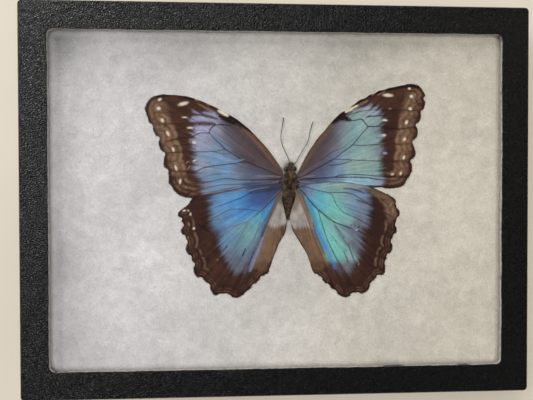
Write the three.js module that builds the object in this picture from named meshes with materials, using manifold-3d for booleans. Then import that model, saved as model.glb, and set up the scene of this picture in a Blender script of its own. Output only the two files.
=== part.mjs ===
// A large blue butterfly, spread flat on soft fibre batting in a shallow glass-topped display case.
// Millimetres, +Z up, +X along the long side of the case, +Y towards the butterfly's head.
// The origin is the centre of the case's footprint, on the surface that the case rests on.
import * as THREE from 'three';
import { mergeVertices } from 'three/addons/utils/BufferGeometryUtils.js';
import Module from 'manifold-3d';

// ---- driving dimensions -------------------------------------------------------------------

const CASE_LENGTH = 206.4;
const CASE_WIDTH = 158.8;
const CASE_HEIGHT = 19.1;
const CASE_CORNER_RADIUS = 1.8;
const BOARD = 1.6;

const WINDOW_LENGTH = 183.6;
const WINDOW_WIDTH = 136.0;
const WINDOW_CORNER_RADIUS = 2.4;

const LID_FOOT_GAP = 0.6;
const NEST_GAP = 0.4;
const FACE_GAP = 0.3;
const GLASS_THICKNESS = 2.0;

const BATTING_BORDER_GAP = 0.3;
const BATTING_TOP = 13.7;
const BATTING_SHOULDER = 3.0;

const WING_THICKNESS = 0.2;
const FOREWING_UNDERSIDE = 14.2;
const HINDWING_UNDERSIDE = 14.65;

const THORAX = { centre: [4.75, 8.0, 12.4], half: [2.4, 4.3, 2.5] };
const HEAD = { centre: [4.65, 13.9, 12.9], half: [1.75, 1.2, 1.7] };
const EYE = { centres: [[3.05, 13.75, 13.1], [6.35, 14.0, 13.1]], half: [1.15, 1.05, 1.3] };
const PALP = { centres: [[4.5, 15.0, 13.2], [5.5, 15.0, 13.2]], half: [0.4, 0.7, 0.6] };

const ABDOMEN = {
  base: [4.2, 3.4, 12.5],
  tip: [3.35, -7.6, 12.9],
  halfWidths: [1.2, 2.1, 2.35, 2.3, 2.0, 1.6, 1.15, 0.6],
  depthRatio: 0.9,
};

const ANTENNA_RADIUS = 0.17;
const ANTENNA_HEIGHT = 14.5;

const PIN_HEIGHT = 9.2;
const PIN_SHAFT_RADIUS = 0.32;
const PIN_HEAD_RADIUS = 0.95;
const PIN_HEAD_THICKNESS = 0.7;
const PIN_LENGTH = 14.0;
const PIN_HOLE_RADIUS = 0.65;

const TRAY_LENGTH = CASE_LENGTH - 2 * (BOARD + NEST_GAP);
const TRAY_WIDTH = CASE_WIDTH - 2 * (BOARD + NEST_GAP);
const GLASS_TOP = CASE_HEIGHT - BOARD - FACE_GAP;
const GLASS_UNDERSIDE = GLASS_TOP - GLASS_THICKNESS;
const TRAY_HEIGHT = GLASS_UNDERSIDE - FACE_GAP;
const BATTING_LENGTH = TRAY_LENGTH - 2 * (BOARD + BATTING_BORDER_GAP);
const BATTING_WIDTH = TRAY_WIDTH - 2 * (BOARD + BATTING_BORDER_GAP);

// ---- wing outlines ------------------------------------------------------------------------
// Each outline starts at the wing's root, follows the leading edge to the tip, comes back along
// the scalloped outer margin, and closes along the inner margin. Points are [x, y].

const LEFT_FOREWING = [
  [1.8, 11.0], [1.6, 12.7], [0.0, 14.8], [-3.0, 19.1], [-5.1, 21.8], [-7.4, 24.3], [-10.0, 27.1],
  [-12.5, 29.6], [-15.0, 31.6], [-17.3, 33.4], [-20.0, 35.0], [-23.0, 36.7], [-26.1, 38.3],
  [-29.6, 39.8], [-33.1, 41.3], [-37.4, 42.6], [-42.1, 43.1], [-46.4, 43.2], [-50.0, 42.5],
  [-51.8, 41.8], [-52.9, 40.6], [-53.6, 39.4], [-54.4, 37.5], [-53.8, 35.9], [-53.6, 34.3],
  [-53.2, 32.8], [-51.9, 31.3], [-51.4, 30.4], [-50.8, 28.3], [-50.0, 26.8], [-48.8, 25.9],
  [-48.7, 24.6], [-48.8, 22.9], [-48.3, 21.4], [-46.9, 19.9], [-46.5, 19.1], [-46.7, 17.3],
  [-46.9, 15.2], [-46.6, 13.8], [-45.6, 12.9], [-45.0, 11.6], [-44.8, 9.6], [-44.9, 7.6],
  [-43.8, 5.6], [-42.5, 4.0], [-40.7, 2.5], [-38.1, 1.6], [-35.3, 1.4], [-32.5, 1.5],
  [-24.0, 2.2], [-12.0, 3.6], [-3.0, 5.6], [1.4, 7.2], [2.0, 9.0],
];

const RIGHT_FOREWING = [
  [7.2, 10.8], [7.9, 12.0], [9.5, 15.1], [11.3, 18.5], [12.7, 20.9], [14.1, 22.8], [15.3, 24.7],
  [17.0, 26.8], [19.2, 29.2], [20.6, 31.0], [22.3, 32.9], [24.0, 34.7], [25.7, 36.2],
  [27.0, 36.9], [28.2, 37.0], [30.6, 39.3], [31.9, 40.3], [33.7, 41.7], [36.1, 42.5],
  [37.7, 43.8], [40.1, 44.5], [41.5, 45.5], [43.8, 45.9], [45.9, 46.7], [48.5, 47.2],
  [51.2, 47.8], [53.3, 48.1], [55.0, 48.2], [56.9, 48.0], [58.3, 47.5], [59.3, 46.5],
  [60.3, 45.1], [60.9, 43.7], [60.9, 43.0], [60.4, 42.5], [60.9, 41.1], [60.7, 39.4],
  [60.2, 38.2], [59.4, 37.2], [59.3, 36.3], [59.0, 34.5], [58.5, 33.1], [57.2, 31.4],
  [57.6, 30.0], [57.8, 28.3], [57.6, 26.9], [56.4, 25.5], [55.8, 24.3], [56.0, 22.9],
  [56.6, 21.2], [56.9, 19.3], [56.4, 18.1], [55.2, 16.9], [55.0, 16.2], [55.4, 14.3],
  [55.4, 12.4], [55.1, 11.6], [54.3, 10.1], [53.3, 8.1], [51.5, 6.2], [49.9, 5.6], [46.7, 5.2],
  [43.5, 5.5], [40.0, 5.3], [36.0, 4.9], [28.0, 4.8], [20.0, 5.0], [12.0, 5.8], [7.6, 7.3],
  [7.0, 9.0],
];

const LEFT_HINDWING = [
  [1.6, 5.2], [0.5, 6.1], [-4.0, 6.6], [-8.0, 6.5], [-12.7, 6.2], [-16.0, 5.7], [-20.3, 4.6],
  [-26.3, 3.5], [-30.5, 2.4], [-34.7, 1.7], [-36.1, -0.3], [-37.3, -2.0], [-38.9, -3.1],
  [-40.1, -4.0], [-41.0, -5.0], [-41.1, -5.8], [-40.5, -6.5], [-39.7, -7.2], [-39.9, -8.5],
  [-39.0, -9.5], [-39.2, -10.8], [-39.9, -12.0], [-39.7, -13.3], [-38.8, -13.8], [-38.3, -14.5],
  [-38.1, -15.5], [-37.5, -16.5], [-37.7, -18.0], [-38.0, -20.0], [-37.3, -21.6],
  [-36.5, -22.2], [-36.0, -22.7], [-35.7, -23.8], [-35.1, -25.0], [-34.6, -25.8],
  [-34.9, -27.6], [-34.7, -29.1], [-34.2, -30.3], [-33.2, -31.2], [-32.0, -31.3],
  [-31.0, -32.1], [-29.8, -33.3], [-28.8, -34.1], [-28.3, -35.1], [-27.9, -36.6],
  [-27.0, -38.2], [-26.2, -38.6], [-24.8, -38.2], [-22.5, -38.1], [-20.5, -38.3],
  [-19.3, -39.3], [-17.7, -39.7], [-16.4, -39.4], [-14.8, -38.3], [-13.6, -36.9],
  [-12.8, -36.5], [-11.6, -35.5], [-11.0, -34.6], [-9.8, -33.8], [-8.2, -32.1], [-7.7, -31.3],
  [-6.9, -31.0], [-6.1, -30.1], [-5.0, -29.8], [-4.4, -28.8], [-3.6, -26.9], [-2.9, -24.8],
  [-2.2, -22.7], [-1.2, -20.4], [-0.2, -17.7], [0.9, -15.9], [2.1, -14.0], [2.6, -12.7],
  [2.9, -11.0], [3.0, -9.3], [2.9, -8.4], [2.3, -6.2], [1.7, -4.0], [1.2, 0.0], [1.2, 3.0],
];

const RIGHT_HINDWING = [
  [7.6, 5.2], [8.6, 5.9], [10.0, 6.2], [12.6, 6.7], [17.0, 7.2], [21.0, 7.6], [25.6, 7.7],
  [30.1, 7.3], [34.5, 6.5], [36.1, 6.1], [39.3, 5.1], [43.1, 3.5], [45.0, 2.4], [47.1, 1.1],
  [48.1, 0.3], [48.8, -0.7], [48.5, -1.7], [49.1, -2.2], [48.9, -2.8], [49.5, -3.9],
  [50.0, -4.9], [49.9, -6.3], [49.2, -7.3], [48.8, -8.4], [48.5, -9.7], [48.4, -10.7],
  [48.8, -12.0], [48.7, -13.4], [47.8, -14.2], [47.2, -15.2], [46.8, -16.3], [46.6, -17.3],
  [47.0, -19.2], [46.8, -20.7], [46.0, -21.7], [45.0, -22.6], [44.5, -24.2], [44.1, -25.7],
  [43.9, -27.0], [43.9, -28.6], [43.7, -30.2], [42.6, -31.0], [41.0, -31.1], [40.0, -32.3],
  [38.4, -34.0], [37.6, -35.2], [37.1, -36.8], [35.8, -38.0], [34.0, -38.6], [32.7, -38.2],
  [31.0, -38.3], [29.7, -38.9], [29.1, -39.6], [27.6, -40.0], [26.3, -39.7], [24.7, -38.8],
  [23.8, -37.7], [23.1, -37.1], [21.8, -36.1], [20.7, -35.1], [20.2, -34.6], [19.1, -33.9],
  [18.1, -32.7], [17.3, -31.6], [16.5, -31.3], [15.6, -30.4], [14.7, -30.4], [13.6, -28.8],
  [12.8, -25.9], [11.8, -23.0], [10.5, -20.4], [9.1, -18.3], [7.5, -15.6], [6.2, -13.5],
  [5.2, -11.6], [5.1, -10.0], [5.3, -7.0], [5.8, -4.0], [6.8, 0.0], [7.4, 3.0],
];

const LEFT_ANTENNA = [
  [4.2, 16.2], [3.6, 17.9], [2.4, 20.4], [1.4, 22.7], [0.9, 24.8], [0.8, 26.8], [1.1, 29.0],
  [1.5, 31.3], [1.9, 34.0],
];

const RIGHT_ANTENNA = [
  [7.2, 16.0], [8.0, 17.5], [9.2, 19.7], [10.5, 21.8], [11.7, 23.7], [12.3, 25.6], [12.7, 27.8],
  [13.3, 30.1], [14.1, 32.5],
];

// ---- finishes -----------------------------------------------------------------------------

function finish(color, roughness, metalness = 0) {
  return new THREE.MeshStandardMaterial({ color, roughness, metalness });
}

const leatherette = finish(0x141418, 0.55);
const glass = new THREE.MeshStandardMaterial({
  color: 0xf2f6f5, roughness: 0.04, metalness: 0, transparent: true, opacity: 0.2,
});
const batting = finish(0xcdcbc6, 0.95);
const wingBlue = finish(0x5a8fc0, 0.45);
const bodyBrown = finish(0x41372f, 0.85);
const antennaGrey = finish(0x3a3634, 0.6);
const pinSteel = finish(0xb9bbbd, 0.3, 1.0);

// ---- joining and cutting ------------------------------------------------------------------

const manifold = await Module();
manifold.setup();

function toSolid(geometry) {
  const bare = geometry.clone();
  bare.deleteAttribute('normal');
  bare.deleteAttribute('uv');
  const merged = mergeVertices(bare, 1e-4);
  return new manifold.Manifold(new manifold.Mesh({
    numProp: 3,
    vertProperties: new Float32Array(merged.attributes.position.array),
    triVerts: new Uint32Array(merged.index.array),
  }));
}

function toGeometry(solid) {
  const mesh = solid.getMesh();
  const geometry = new THREE.BufferGeometry();
  geometry.setAttribute('position', new THREE.BufferAttribute(new Float32Array(mesh.vertProperties), 3));
  geometry.setIndex(new THREE.BufferAttribute(new Uint32Array(mesh.triVerts), 1));
  geometry.computeVertexNormals();
  return geometry;
}

// ---- shapes shared by several pieces ------------------------------------------------------

const CORNER_STEPS = 6;

function roundedRectangle(length, width, radius) {
  const shape = new THREE.Shape();
  const x = length / 2 - radius;
  const y = width / 2 - radius;
  shape.absarc(x, y, radius, 0, Math.PI / 2);
  shape.absarc(-x, y, radius, Math.PI / 2, Math.PI);
  shape.absarc(-x, -y, radius, Math.PI, 1.5 * Math.PI);
  shape.absarc(x, -y, radius, 1.5 * Math.PI, 2 * Math.PI);
  return shape;
}

function slab(shape, bottom, top) {
  const geometry = new THREE.ExtrudeGeometry(shape, {
    depth: top - bottom, bevelEnabled: false, curveSegments: CORNER_STEPS,
  });
  return geometry.translate(0, 0, bottom);
}

function ellipsoid(centre, half, columns = 16, rows = 10) {
  const geometry = new THREE.SphereGeometry(1, columns, rows);
  return geometry.scale(...half).translate(...centre);
}

function pinHole(pin, radius, length) {
  const geometry = new THREE.CylinderGeometry(radius, radius, length, 12);
  return geometry.rotateZ(Math.PI / 2).applyMatrix4(pin.place);
}

// ---- the pins: where each one goes in, halfway along a side of the case -------------------
// A pin is drawn along X with its head outside, at x = 0 on the lid's wall.

function pinPlace(x, y, turn) {
  const place = new THREE.Matrix4().makeRotationZ(turn);
  return place.setPosition(x, y, PIN_HEIGHT);
}

const PINS = [
  { name: 'left_pin', place: pinPlace(-CASE_LENGTH / 2, 0, Math.PI) },
  { name: 'right_pin', place: pinPlace(CASE_LENGTH / 2, 0, 0) },
  { name: 'head_side_pin', place: pinPlace(0, CASE_WIDTH / 2, Math.PI / 2) },
  { name: 'tail_side_pin', place: pinPlace(0, -CASE_WIDTH / 2, -Math.PI / 2) },
];

function cutPinHoles(solid) {
  const reach = 2 * (PIN_LENGTH + FACE_GAP);
  return PINS.reduce((rest, pin) => rest.subtract(toSolid(pinHole(pin, PIN_HOLE_RADIUS, reach))), solid);
}

// ---- the pieces ---------------------------------------------------------------------------

function baseTray() {
  const outside = slab(roundedRectangle(TRAY_LENGTH, TRAY_WIDTH, CASE_CORNER_RADIUS), 0, TRAY_HEIGHT);
  const inside = new THREE.BoxGeometry(TRAY_LENGTH - 2 * BOARD, TRAY_WIDTH - 2 * BOARD, TRAY_HEIGHT);
  inside.translate(0, 0, TRAY_HEIGHT / 2 + BOARD);
  return toGeometry(cutPinHoles(toSolid(outside).subtract(toSolid(inside))));
}

function lidFrame() {
  const outline = roundedRectangle(CASE_LENGTH, CASE_WIDTH, CASE_CORNER_RADIUS);
  const outside = slab(outline, LID_FOOT_GAP, CASE_HEIGHT);
  const inside = new THREE.BoxGeometry(CASE_LENGTH - 2 * BOARD, CASE_WIDTH - 2 * BOARD, CASE_HEIGHT);
  inside.translate(0, 0, CASE_HEIGHT / 2 - BOARD);
  const opening = roundedRectangle(WINDOW_LENGTH, WINDOW_WIDTH, WINDOW_CORNER_RADIUS);
  const windowCut = slab(opening, GLASS_TOP, CASE_HEIGHT + BOARD);
  const shell = toSolid(outside).subtract(toSolid(inside)).subtract(toSolid(windowCut));
  return toGeometry(cutPinHoles(shell));
}

function glassPane() {
  const pane = new THREE.BoxGeometry(TRAY_LENGTH, TRAY_WIDTH, GLASS_THICKNESS);
  return pane.translate(0, 0, (GLASS_TOP + GLASS_UNDERSIDE) / 2);
}

// The batting is a soft block with sloping shoulders, and a trench that the body lies in.
function fiberBatting() {
  const bottom = BOARD + FACE_GAP;
  const core = roundedRectangle(
    BATTING_LENGTH - 2 * BATTING_SHOULDER, BATTING_WIDTH - 2 * BATTING_SHOULDER, BATTING_SHOULDER);
  const block = new THREE.ExtrudeGeometry(core, {
    depth: BATTING_TOP - bottom - 2 * BATTING_SHOULDER,
    bevelEnabled: true,
    bevelThickness: BATTING_SHOULDER,
    bevelSize: BATTING_SHOULDER,
    bevelSegments: 3,
    curveSegments: CORNER_STEPS,
  });
  block.translate(0, 0, bottom + BATTING_SHOULDER);
  const trenchShape = roundedRectangle(7.4, 25.6, 3.6);
  const trench = slab(trenchShape, 9.3, BATTING_TOP + 1).translate(4.5, 3.7, 0);
  return toGeometry(cutPinHoles(toSolid(block).subtract(toSolid(trench))));
}

function wing(outline, underside) {
  const shape = new THREE.Shape(outline.map(([x, y]) => new THREE.Vector2(x, y)));
  return slab(shape, underside, underside + WING_THICKNESS);
}

function head() {
  let solid = toSolid(ellipsoid(HEAD.centre, HEAD.half));
  for (const centre of EYE.centres) {
    solid = solid.add(toSolid(ellipsoid(centre, EYE.half, 12, 8)));
  }
  for (const centre of PALP.centres) {
    solid = solid.add(toSolid(ellipsoid(centre, PALP.half, 8, 6)));
  }
  return toGeometry(solid);
}

function abdomen() {
  const base = new THREE.Vector3(...ABDOMEN.base);
  const tip = new THREE.Vector3(...ABDOMEN.tip);
  const length = base.distanceTo(tip);
  const steps = ABDOMEN.halfWidths.length;
  const profile = [new THREE.Vector2(0, 0)];
  ABDOMEN.halfWidths.forEach((half, i) => {
    profile.push(new THREE.Vector2(half, (length * (i + 0.4)) / steps));
  });
  profile.push(new THREE.Vector2(0, length));
  const geometry = new THREE.LatheGeometry(profile, 16);
  geometry.scale(1, 1, ABDOMEN.depthRatio);
  const along = tip.clone().sub(base).normalize();
  geometry.applyQuaternion(new THREE.Quaternion().setFromUnitVectors(new THREE.Vector3(0, 1, 0), along));
  return geometry.translate(...ABDOMEN.base);
}

function antenna(route) {
  const path = new THREE.CatmullRomCurve3(route.map(([x, y]) => new THREE.Vector3(x, y, ANTENNA_HEIGHT)));
  const section = new THREE.Shape();
  section.absarc(0, 0, ANTENNA_RADIUS, 0, 2 * Math.PI);
  return new THREE.ExtrudeGeometry(section, { extrudePath: path, steps: 20, curveSegments: 4 });
}

function pin(place) {
  const headFace = FACE_GAP;
  const headTop = headFace + PIN_HEAD_THICKNESS;
  const profile = [
    [0, -PIN_LENGTH],
    [PIN_SHAFT_RADIUS, -PIN_LENGTH + 2.5],
    [PIN_SHAFT_RADIUS, headFace],
    [PIN_HEAD_RADIUS, headFace],
    [PIN_HEAD_RADIUS, headFace + 0.6 * PIN_HEAD_THICKNESS],
    [0.6 * PIN_HEAD_RADIUS, headTop],
    [0, headTop],
  ];
  const geometry = new THREE.LatheGeometry(profile.map(([r, y]) => new THREE.Vector2(r, y)), 12);
  return geometry.rotateZ(-Math.PI / 2).applyMatrix4(place);
}

// ---- the whole specimen -------------------------------------------------------------------

const specimen = new THREE.Group();

function addPiece(name, geometry, material) {
  const mesh = new THREE.Mesh(geometry, material);
  mesh.name = name;
  specimen.add(mesh);
}

addPiece('base_tray', baseTray(), leatherette);
addPiece('fiber_batting', fiberBatting(), batting);
addPiece('left_forewing', wing(LEFT_FOREWING, FOREWING_UNDERSIDE), wingBlue);
addPiece('right_forewing', wing(RIGHT_FOREWING, FOREWING_UNDERSIDE), wingBlue);
addPiece('left_hindwing', wing(LEFT_HINDWING, HINDWING_UNDERSIDE), wingBlue);
addPiece('right_hindwing', wing(RIGHT_HINDWING, HINDWING_UNDERSIDE), wingBlue);
addPiece('thorax', ellipsoid(THORAX.centre, THORAX.half), bodyBrown);
addPiece('abdomen', abdomen(), bodyBrown);
addPiece('head', head(), bodyBrown);
addPiece('left_antenna', antenna(LEFT_ANTENNA), antennaGrey);
addPiece('right_antenna', antenna(RIGHT_ANTENNA), antennaGrey);
addPiece('glass_pane', glassPane(), glass);
addPiece('lid_frame', lidFrame(), leatherette);
for (const { name, place } of PINS) {
  addPiece(name, pin(place), pinSteel);
}

export default specimen;
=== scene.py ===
# A large blue butterfly, spread flat on soft fibre batting under the glass of a shallow display case.
# Metres in Blender, millimetres in the lists: +X along the case, +Y towards the head, +Z up.
import math

import bmesh
import bpy
import numpy as np
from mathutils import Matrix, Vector, geometry


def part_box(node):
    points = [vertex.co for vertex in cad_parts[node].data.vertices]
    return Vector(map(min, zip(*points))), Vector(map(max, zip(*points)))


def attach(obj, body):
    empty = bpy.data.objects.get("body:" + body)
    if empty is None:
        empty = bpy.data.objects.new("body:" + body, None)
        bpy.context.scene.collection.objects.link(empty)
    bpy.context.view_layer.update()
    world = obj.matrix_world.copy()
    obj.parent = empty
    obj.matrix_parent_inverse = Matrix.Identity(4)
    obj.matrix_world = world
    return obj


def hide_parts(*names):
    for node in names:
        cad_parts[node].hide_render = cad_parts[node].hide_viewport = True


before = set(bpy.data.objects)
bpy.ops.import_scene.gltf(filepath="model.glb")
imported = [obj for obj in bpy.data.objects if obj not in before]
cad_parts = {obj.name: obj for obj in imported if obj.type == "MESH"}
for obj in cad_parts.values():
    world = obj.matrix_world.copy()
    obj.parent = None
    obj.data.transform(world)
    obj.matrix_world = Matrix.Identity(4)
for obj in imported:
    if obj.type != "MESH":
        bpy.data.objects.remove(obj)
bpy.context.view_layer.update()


# ---- The camera -------------------------------------------
# Held by hand not quite 20 cm above the case, looking straight down on it, with a lens wide
# enough that the case just fills the frame.

MM = 0.001


def shown(name, data):
    """A new object in the scene."""
    made = bpy.data.objects.new(name, data)
    bpy.context.scene.collection.objects.link(made)
    return made


camera_data = bpy.data.cameras.new("camera")
camera_data.lens = 29.25
camera_data.sensor_width = 36
camera_data.clip_start = 0.01
camera = shown("camera", camera_data)
camera.location = (-12.76 * MM, 2.31 * MM, 193.3 * MM)
camera.rotation_euler = tuple(math.radians(turn) for turn in (-0.66, -2.43, -0.12))
bpy.context.scene.camera = camera
bpy.context.scene.view_settings.view_transform = "Standard"


# ---- The table and the light ------------------------------
# A pale cream table top, matt and faintly mottled, in a pale studio: one wide lamp from the head
# side, a little to the left, one broad light bounced down from the ceiling, and walls that are
# brightest and coolest on the window's side.

def feed(node, key, value):
    """Gives one input its value, or links it to a socket or to a node's first output."""
    if isinstance(value, bpy.types.Node):
        value = value.outputs[0]
    if isinstance(value, bpy.types.NodeSocket):
        node.id_data.links.new(value, node.inputs[key])
    else:
        node.inputs[key].default_value = value


def add_node(tree, kind, inputs=None, **settings):
    """One node with its settings and its inputs. A kind that names no family is a shader node's."""
    made = tree.nodes.new(kind if "Node" in kind else "ShaderNode" + kind)
    for key, value in settings.items():
        setattr(made, key, value)
    for key, value in (inputs or {}).items():
        feed(made, key, value)
    return made


def reckon(tree, operation, *values):
    return add_node(tree, "Math", dict(enumerate(values)), operation=operation)


def ranged(tree, value, low, high, new_low=0, new_high=1):
    """A value's range stretched to a new one, and held to it."""
    return add_node(tree, "MapRange", {"Value": value, "From Min": low, "From Max": high,
        "To Min": new_low, "To Max": new_high})


def scaled(tree, vector, factor):
    return add_node(tree, "VectorMath", {0: vector, "Scale": factor}, operation="SCALE")


def noise(tree, place, scale, detail):
    return add_node(tree, "TexNoise", {"Vector": place, "Scale": scale, "Detail": detail})


def blend(tree, share, first, second, way="MIX"):
    """A colour that turns into another by a share."""
    return add_node(tree, "Mix", {0: share, 6: first, 7: second}, data_type="RGBA",
        blend_type=way).outputs[2]


def linear(colour):
    """A colour from 0 to 255, as a paint chart gives it, as linear light."""
    share = np.asarray(colour, float) / 255
    return np.where(share <= 0.04045, share / 12.92, ((share + 0.055) / 1.055) ** 2.4)


def paint(colour):
    return (*linear(colour), 1)


def new_material(name, **surface_values):
    """A material, its tree, its shader and a node that gives places on the piece."""
    material = bpy.data.materials.new(name)
    material.use_nodes = True
    tree = material.node_tree
    surface = tree.nodes["Principled BSDF"]
    for key, value in surface_values.items():
        feed(surface, key.replace("_", " "), value)
    place = tree.nodes.new("ShaderNodeTexCoord").outputs["Object"]
    return material, tree, surface, place


def new_shader_group(name, inputs, outputs):
    """A shader group with named sockets: the group, what comes in, and the node for what goes out."""
    group = bpy.data.node_groups.new(name, "ShaderNodeTree")
    for way, sockets in (("INPUT", inputs), ("OUTPUT", outputs)):
        for socket_name, kind in sockets.items():
            group.interface.new_socket(name=socket_name, in_out=way, socket_type="NodeSocket" + kind)
    return group, group.nodes.new("NodeGroupInput").outputs, group.nodes.new("NodeGroupOutput")


# Two paints mixed by cloudy noise.
mottling, given, out = new_shader_group("mottled_paint", {"Vector": "Vector", "Scale": "Float",
    "Detail": "Float", "Low": "Float", "High": "Float", "Dark": "Color", "Light": "Color"},
    {"Colour": "Color"})
cloud = add_node(mottling, "TexNoise", {key: given[key] for key in ("Vector", "Scale", "Detail")})
share = ranged(mottling, cloud, given["Low"], given["High"])
both_paints = blend(mottling, share, given["Dark"], given["Light"])
feed(out, "Colour", both_paints)


def mottle(tree, vector, scale, dark, light, low=0.35, high=0.65, detail=3):
    return add_node(tree, "Group", {"Vector": vector, "Scale": scale, "Detail": detail, "Low": low,
        "High": high, "Dark": dark, "Light": light}, node_tree=mottling).outputs[0]


def add_bump(tree, surface, height, distance, strength=1):
    bump = add_node(tree, "Bump", {"Height": height, "Distance": distance, "Strength": strength})
    feed(surface, "Normal", bump.outputs["Normal"])


TABLE_HALF = 3000
TABLE_TOP = -0.05

table_finish, tree, surface, place = new_material("table_cream", Roughness=0.7)
cream = mottle(tree, place, 9, paint((229, 219, 202)), paint((236, 227, 211)))
feed(surface, "Base Color", cream)

corners = [(-1, -1), (1, -1), (1, 1), (-1, 1)]
table_mesh = bpy.data.meshes.new("table")
table_mesh.from_pydata(
    [(x * TABLE_HALF * MM, y * TABLE_HALF * MM, TABLE_TOP * MM) for x, y in corners], [], [(0, 1, 2, 3)])
table_mesh.materials.append(table_finish)
table = shown("table", table_mesh)

WALL_LIGHT = 0.36
CEILING_LIGHT = 0.03
WINDOW_SIDE = (-0.7, 0.7, 0)

world = bpy.data.worlds.new("studio")
world.use_nodes = True
tree = world.node_tree
sky_way = tree.nodes.new("ShaderNodeTexCoord").outputs["Generated"]
sky_parts = add_node(tree, "SeparateXYZ", {0: sky_way})
wall = ranged(tree, sky_parts.outputs["Z"], 0.6, 0.8, WALL_LIGHT, CEILING_LIGHT)
facing = add_node(tree, "VectorMath", {0: sky_way, 1: WINDOW_SIDE}, operation="DOT_PRODUCT")
window_share = ranged(tree, facing.outputs["Value"], -0.7, 0.8, 0.42, 1)
wall_tint = ranged(tree, sky_parts.outputs["X"], -0.8, 0.8)
tinted = blend(tree, wall_tint, (0.88, 0.95, 1.1, 1), (1.1, 1, 0.85, 1))
strength = reckon(tree, "MULTIPLY", wall, window_share)
feed(tree.nodes["Background"], "Color", tinted)
feed(tree.nodes["Background"], "Strength", strength)
bpy.context.scene.world = world

for name, length, width, spot, power, tint in (
        ("window_light", 1500, 360, (-639, 639, 935), 9.5, (1, 0.975, 0.94)),
        ("bounce_light", 800, 800, (120, -120, 1180), 7.4, (1, 0.985, 0.955))):
    lamp_data = bpy.data.lights.new(name, "AREA")
    lamp_data.shape = "RECTANGLE"
    lamp_data.size = length * MM
    lamp_data.size_y = width * MM
    lamp_data.energy = power
    lamp_data.color = tint
    lamp = shown(name, lamp_data)
    lamp.location = Vector(spot) * MM
    lamp.rotation_euler = (-lamp.location).to_track_quat("-Z", "Y").to_euler()
    lamp.visible_glossy = lamp.visible_transmission = name == "window_light"


# ---- The base tray ----------------------------------------
# Pressboard folded into a shallow box. Black grained paper is glued round its walls and turned
# in under the bottom, where its edge shows as a thin step round the bare panel.

def level_loop(half_length, half_width, radius, height, along=110, across=86, corner=6):
    """One level loop round a rounded rectangle, anticlockwise, as an array of points."""
    corner_points = []
    for sign_x, sign_y, start in ((1, 1, 0), (-1, 1, 90), (-1, -1, 180), (1, -1, 270)):
        turns = np.radians(start + np.linspace(0, 90, corner + 1))
        x = sign_x * (half_length - radius) + radius * np.cos(turns)
        y = sign_y * (half_width - radius) + radius * np.sin(turns)
        corner_points.append(np.stack([x, y], 1))
    runs = []
    for k in range(4):
        runs.append(corner_points[k])
        steps = along if k % 2 == 0 else across
        share = np.linspace(0, 1, steps + 2)[1:-1, None]
        runs.append(corner_points[k][-1] * (1 - share) + corner_points[(k + 1) % 4][0] * share)
    flat = np.concatenate(runs)
    return np.column_stack([flat, np.full(len(flat), height)])


def band_faces(count, rows, closed):
    """Quads between each loop of points and the next."""
    faces = []
    for row in range(rows if closed else rows - 1):
        upper = (row + 1) % rows
        for k in range(count):
            after = (k + 1) % count
            faces.append((row * count + k, row * count + after, upper * count + after, upper * count + k))
    return faces


def make_piece(name, parts, materials, smooth=True):
    """A piece from parts, each its points in millimetres, its faces and its material's number."""
    points, faces, numbers = [], [], []
    for part_points, part_faces, part_numbers in parts:
        start = len(points)
        points.extend(map(tuple, np.asarray(part_points) * MM))
        faces.extend(tuple(start + v for v in face) for face in part_faces)
        if np.ndim(part_numbers) == 0:
            part_numbers = [part_numbers] * len(part_faces)
        numbers.extend(int(n) for n in part_numbers)
    mesh = bpy.data.meshes.new(name)
    mesh.from_pydata(points, [], faces)
    mesh.polygons.foreach_set("material_index", numbers)
    for material in materials:
        mesh.materials.append(material)
    form = bmesh.new()
    form.from_mesh(mesh)
    bmesh.ops.recalc_face_normals(form, faces=form.faces)
    for face in form.faces:
        face.smooth = smooth
    form.to_mesh(mesh)
    form.free()
    return shown(name, mesh)


def value_noise(u, v, seed):
    """Smooth noise from -1 to 1 with one lump to each unit square."""
    table_size = 64
    heights = np.random.default_rng(seed).uniform(-1, 1, (table_size, table_size))
    row, column = np.floor(u).astype(int), np.floor(v).astype(int)
    fu, fv = u - row, v - column
    fu, fv = fu * fu * (3 - 2 * fu), fv * fv * (3 - 2 * fv)

    def corner(a, b):
        return heights[(row + a) % table_size, (column + b) % table_size]

    near = corner(0, 0) * (1 - fu) + corner(1, 0) * fu
    far = corner(0, 1) * (1 - fu) + corner(1, 1) * fu
    return near * (1 - fv) + far * fv


# Pebbled paper grain: long rounded pebbles that lie aslant, with fine creases between them.
leather_grain, given, out = new_shader_group("leather_grain",
    {"Vector": "Vector", "Pebbles": "Float", "Wander": "Float"}, {"Height": "Float", "Crease": "Float"})
aslant = add_node(leather_grain, "Mapping", {"Vector": given["Vector"], "Rotation": (0, 0, 0.75),
    "Scale": (1, 1.55, 1.3)})
warp = noise(leather_grain, given["Vector"], 520, 2)
drift = scaled(leather_grain, warp.outputs["Color"], given["Wander"])
bent = add_node(leather_grain, "VectorMath", {0: aslant, 1: drift})
pebble = add_node(leather_grain, "TexVoronoi", {"Vector": bent, "Scale": given["Pebbles"]},
    feature="DISTANCE_TO_EDGE")
slope = ranged(leather_grain, pebble, 0, 0.42, 1, 0)
fall = reckon(leather_grain, "POWER", slope, 2)
fine = noise(leather_grain, given["Vector"], 3800, 2)
height = reckon(leather_grain, "MULTIPLY", fine, 0.3)
total = reckon(leather_grain, "SUBTRACT", height, fall)
crease = reckon(leather_grain, "POWER", slope, 5)
feed(out, "Height", total)
feed(out, "Crease", crease)


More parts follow.
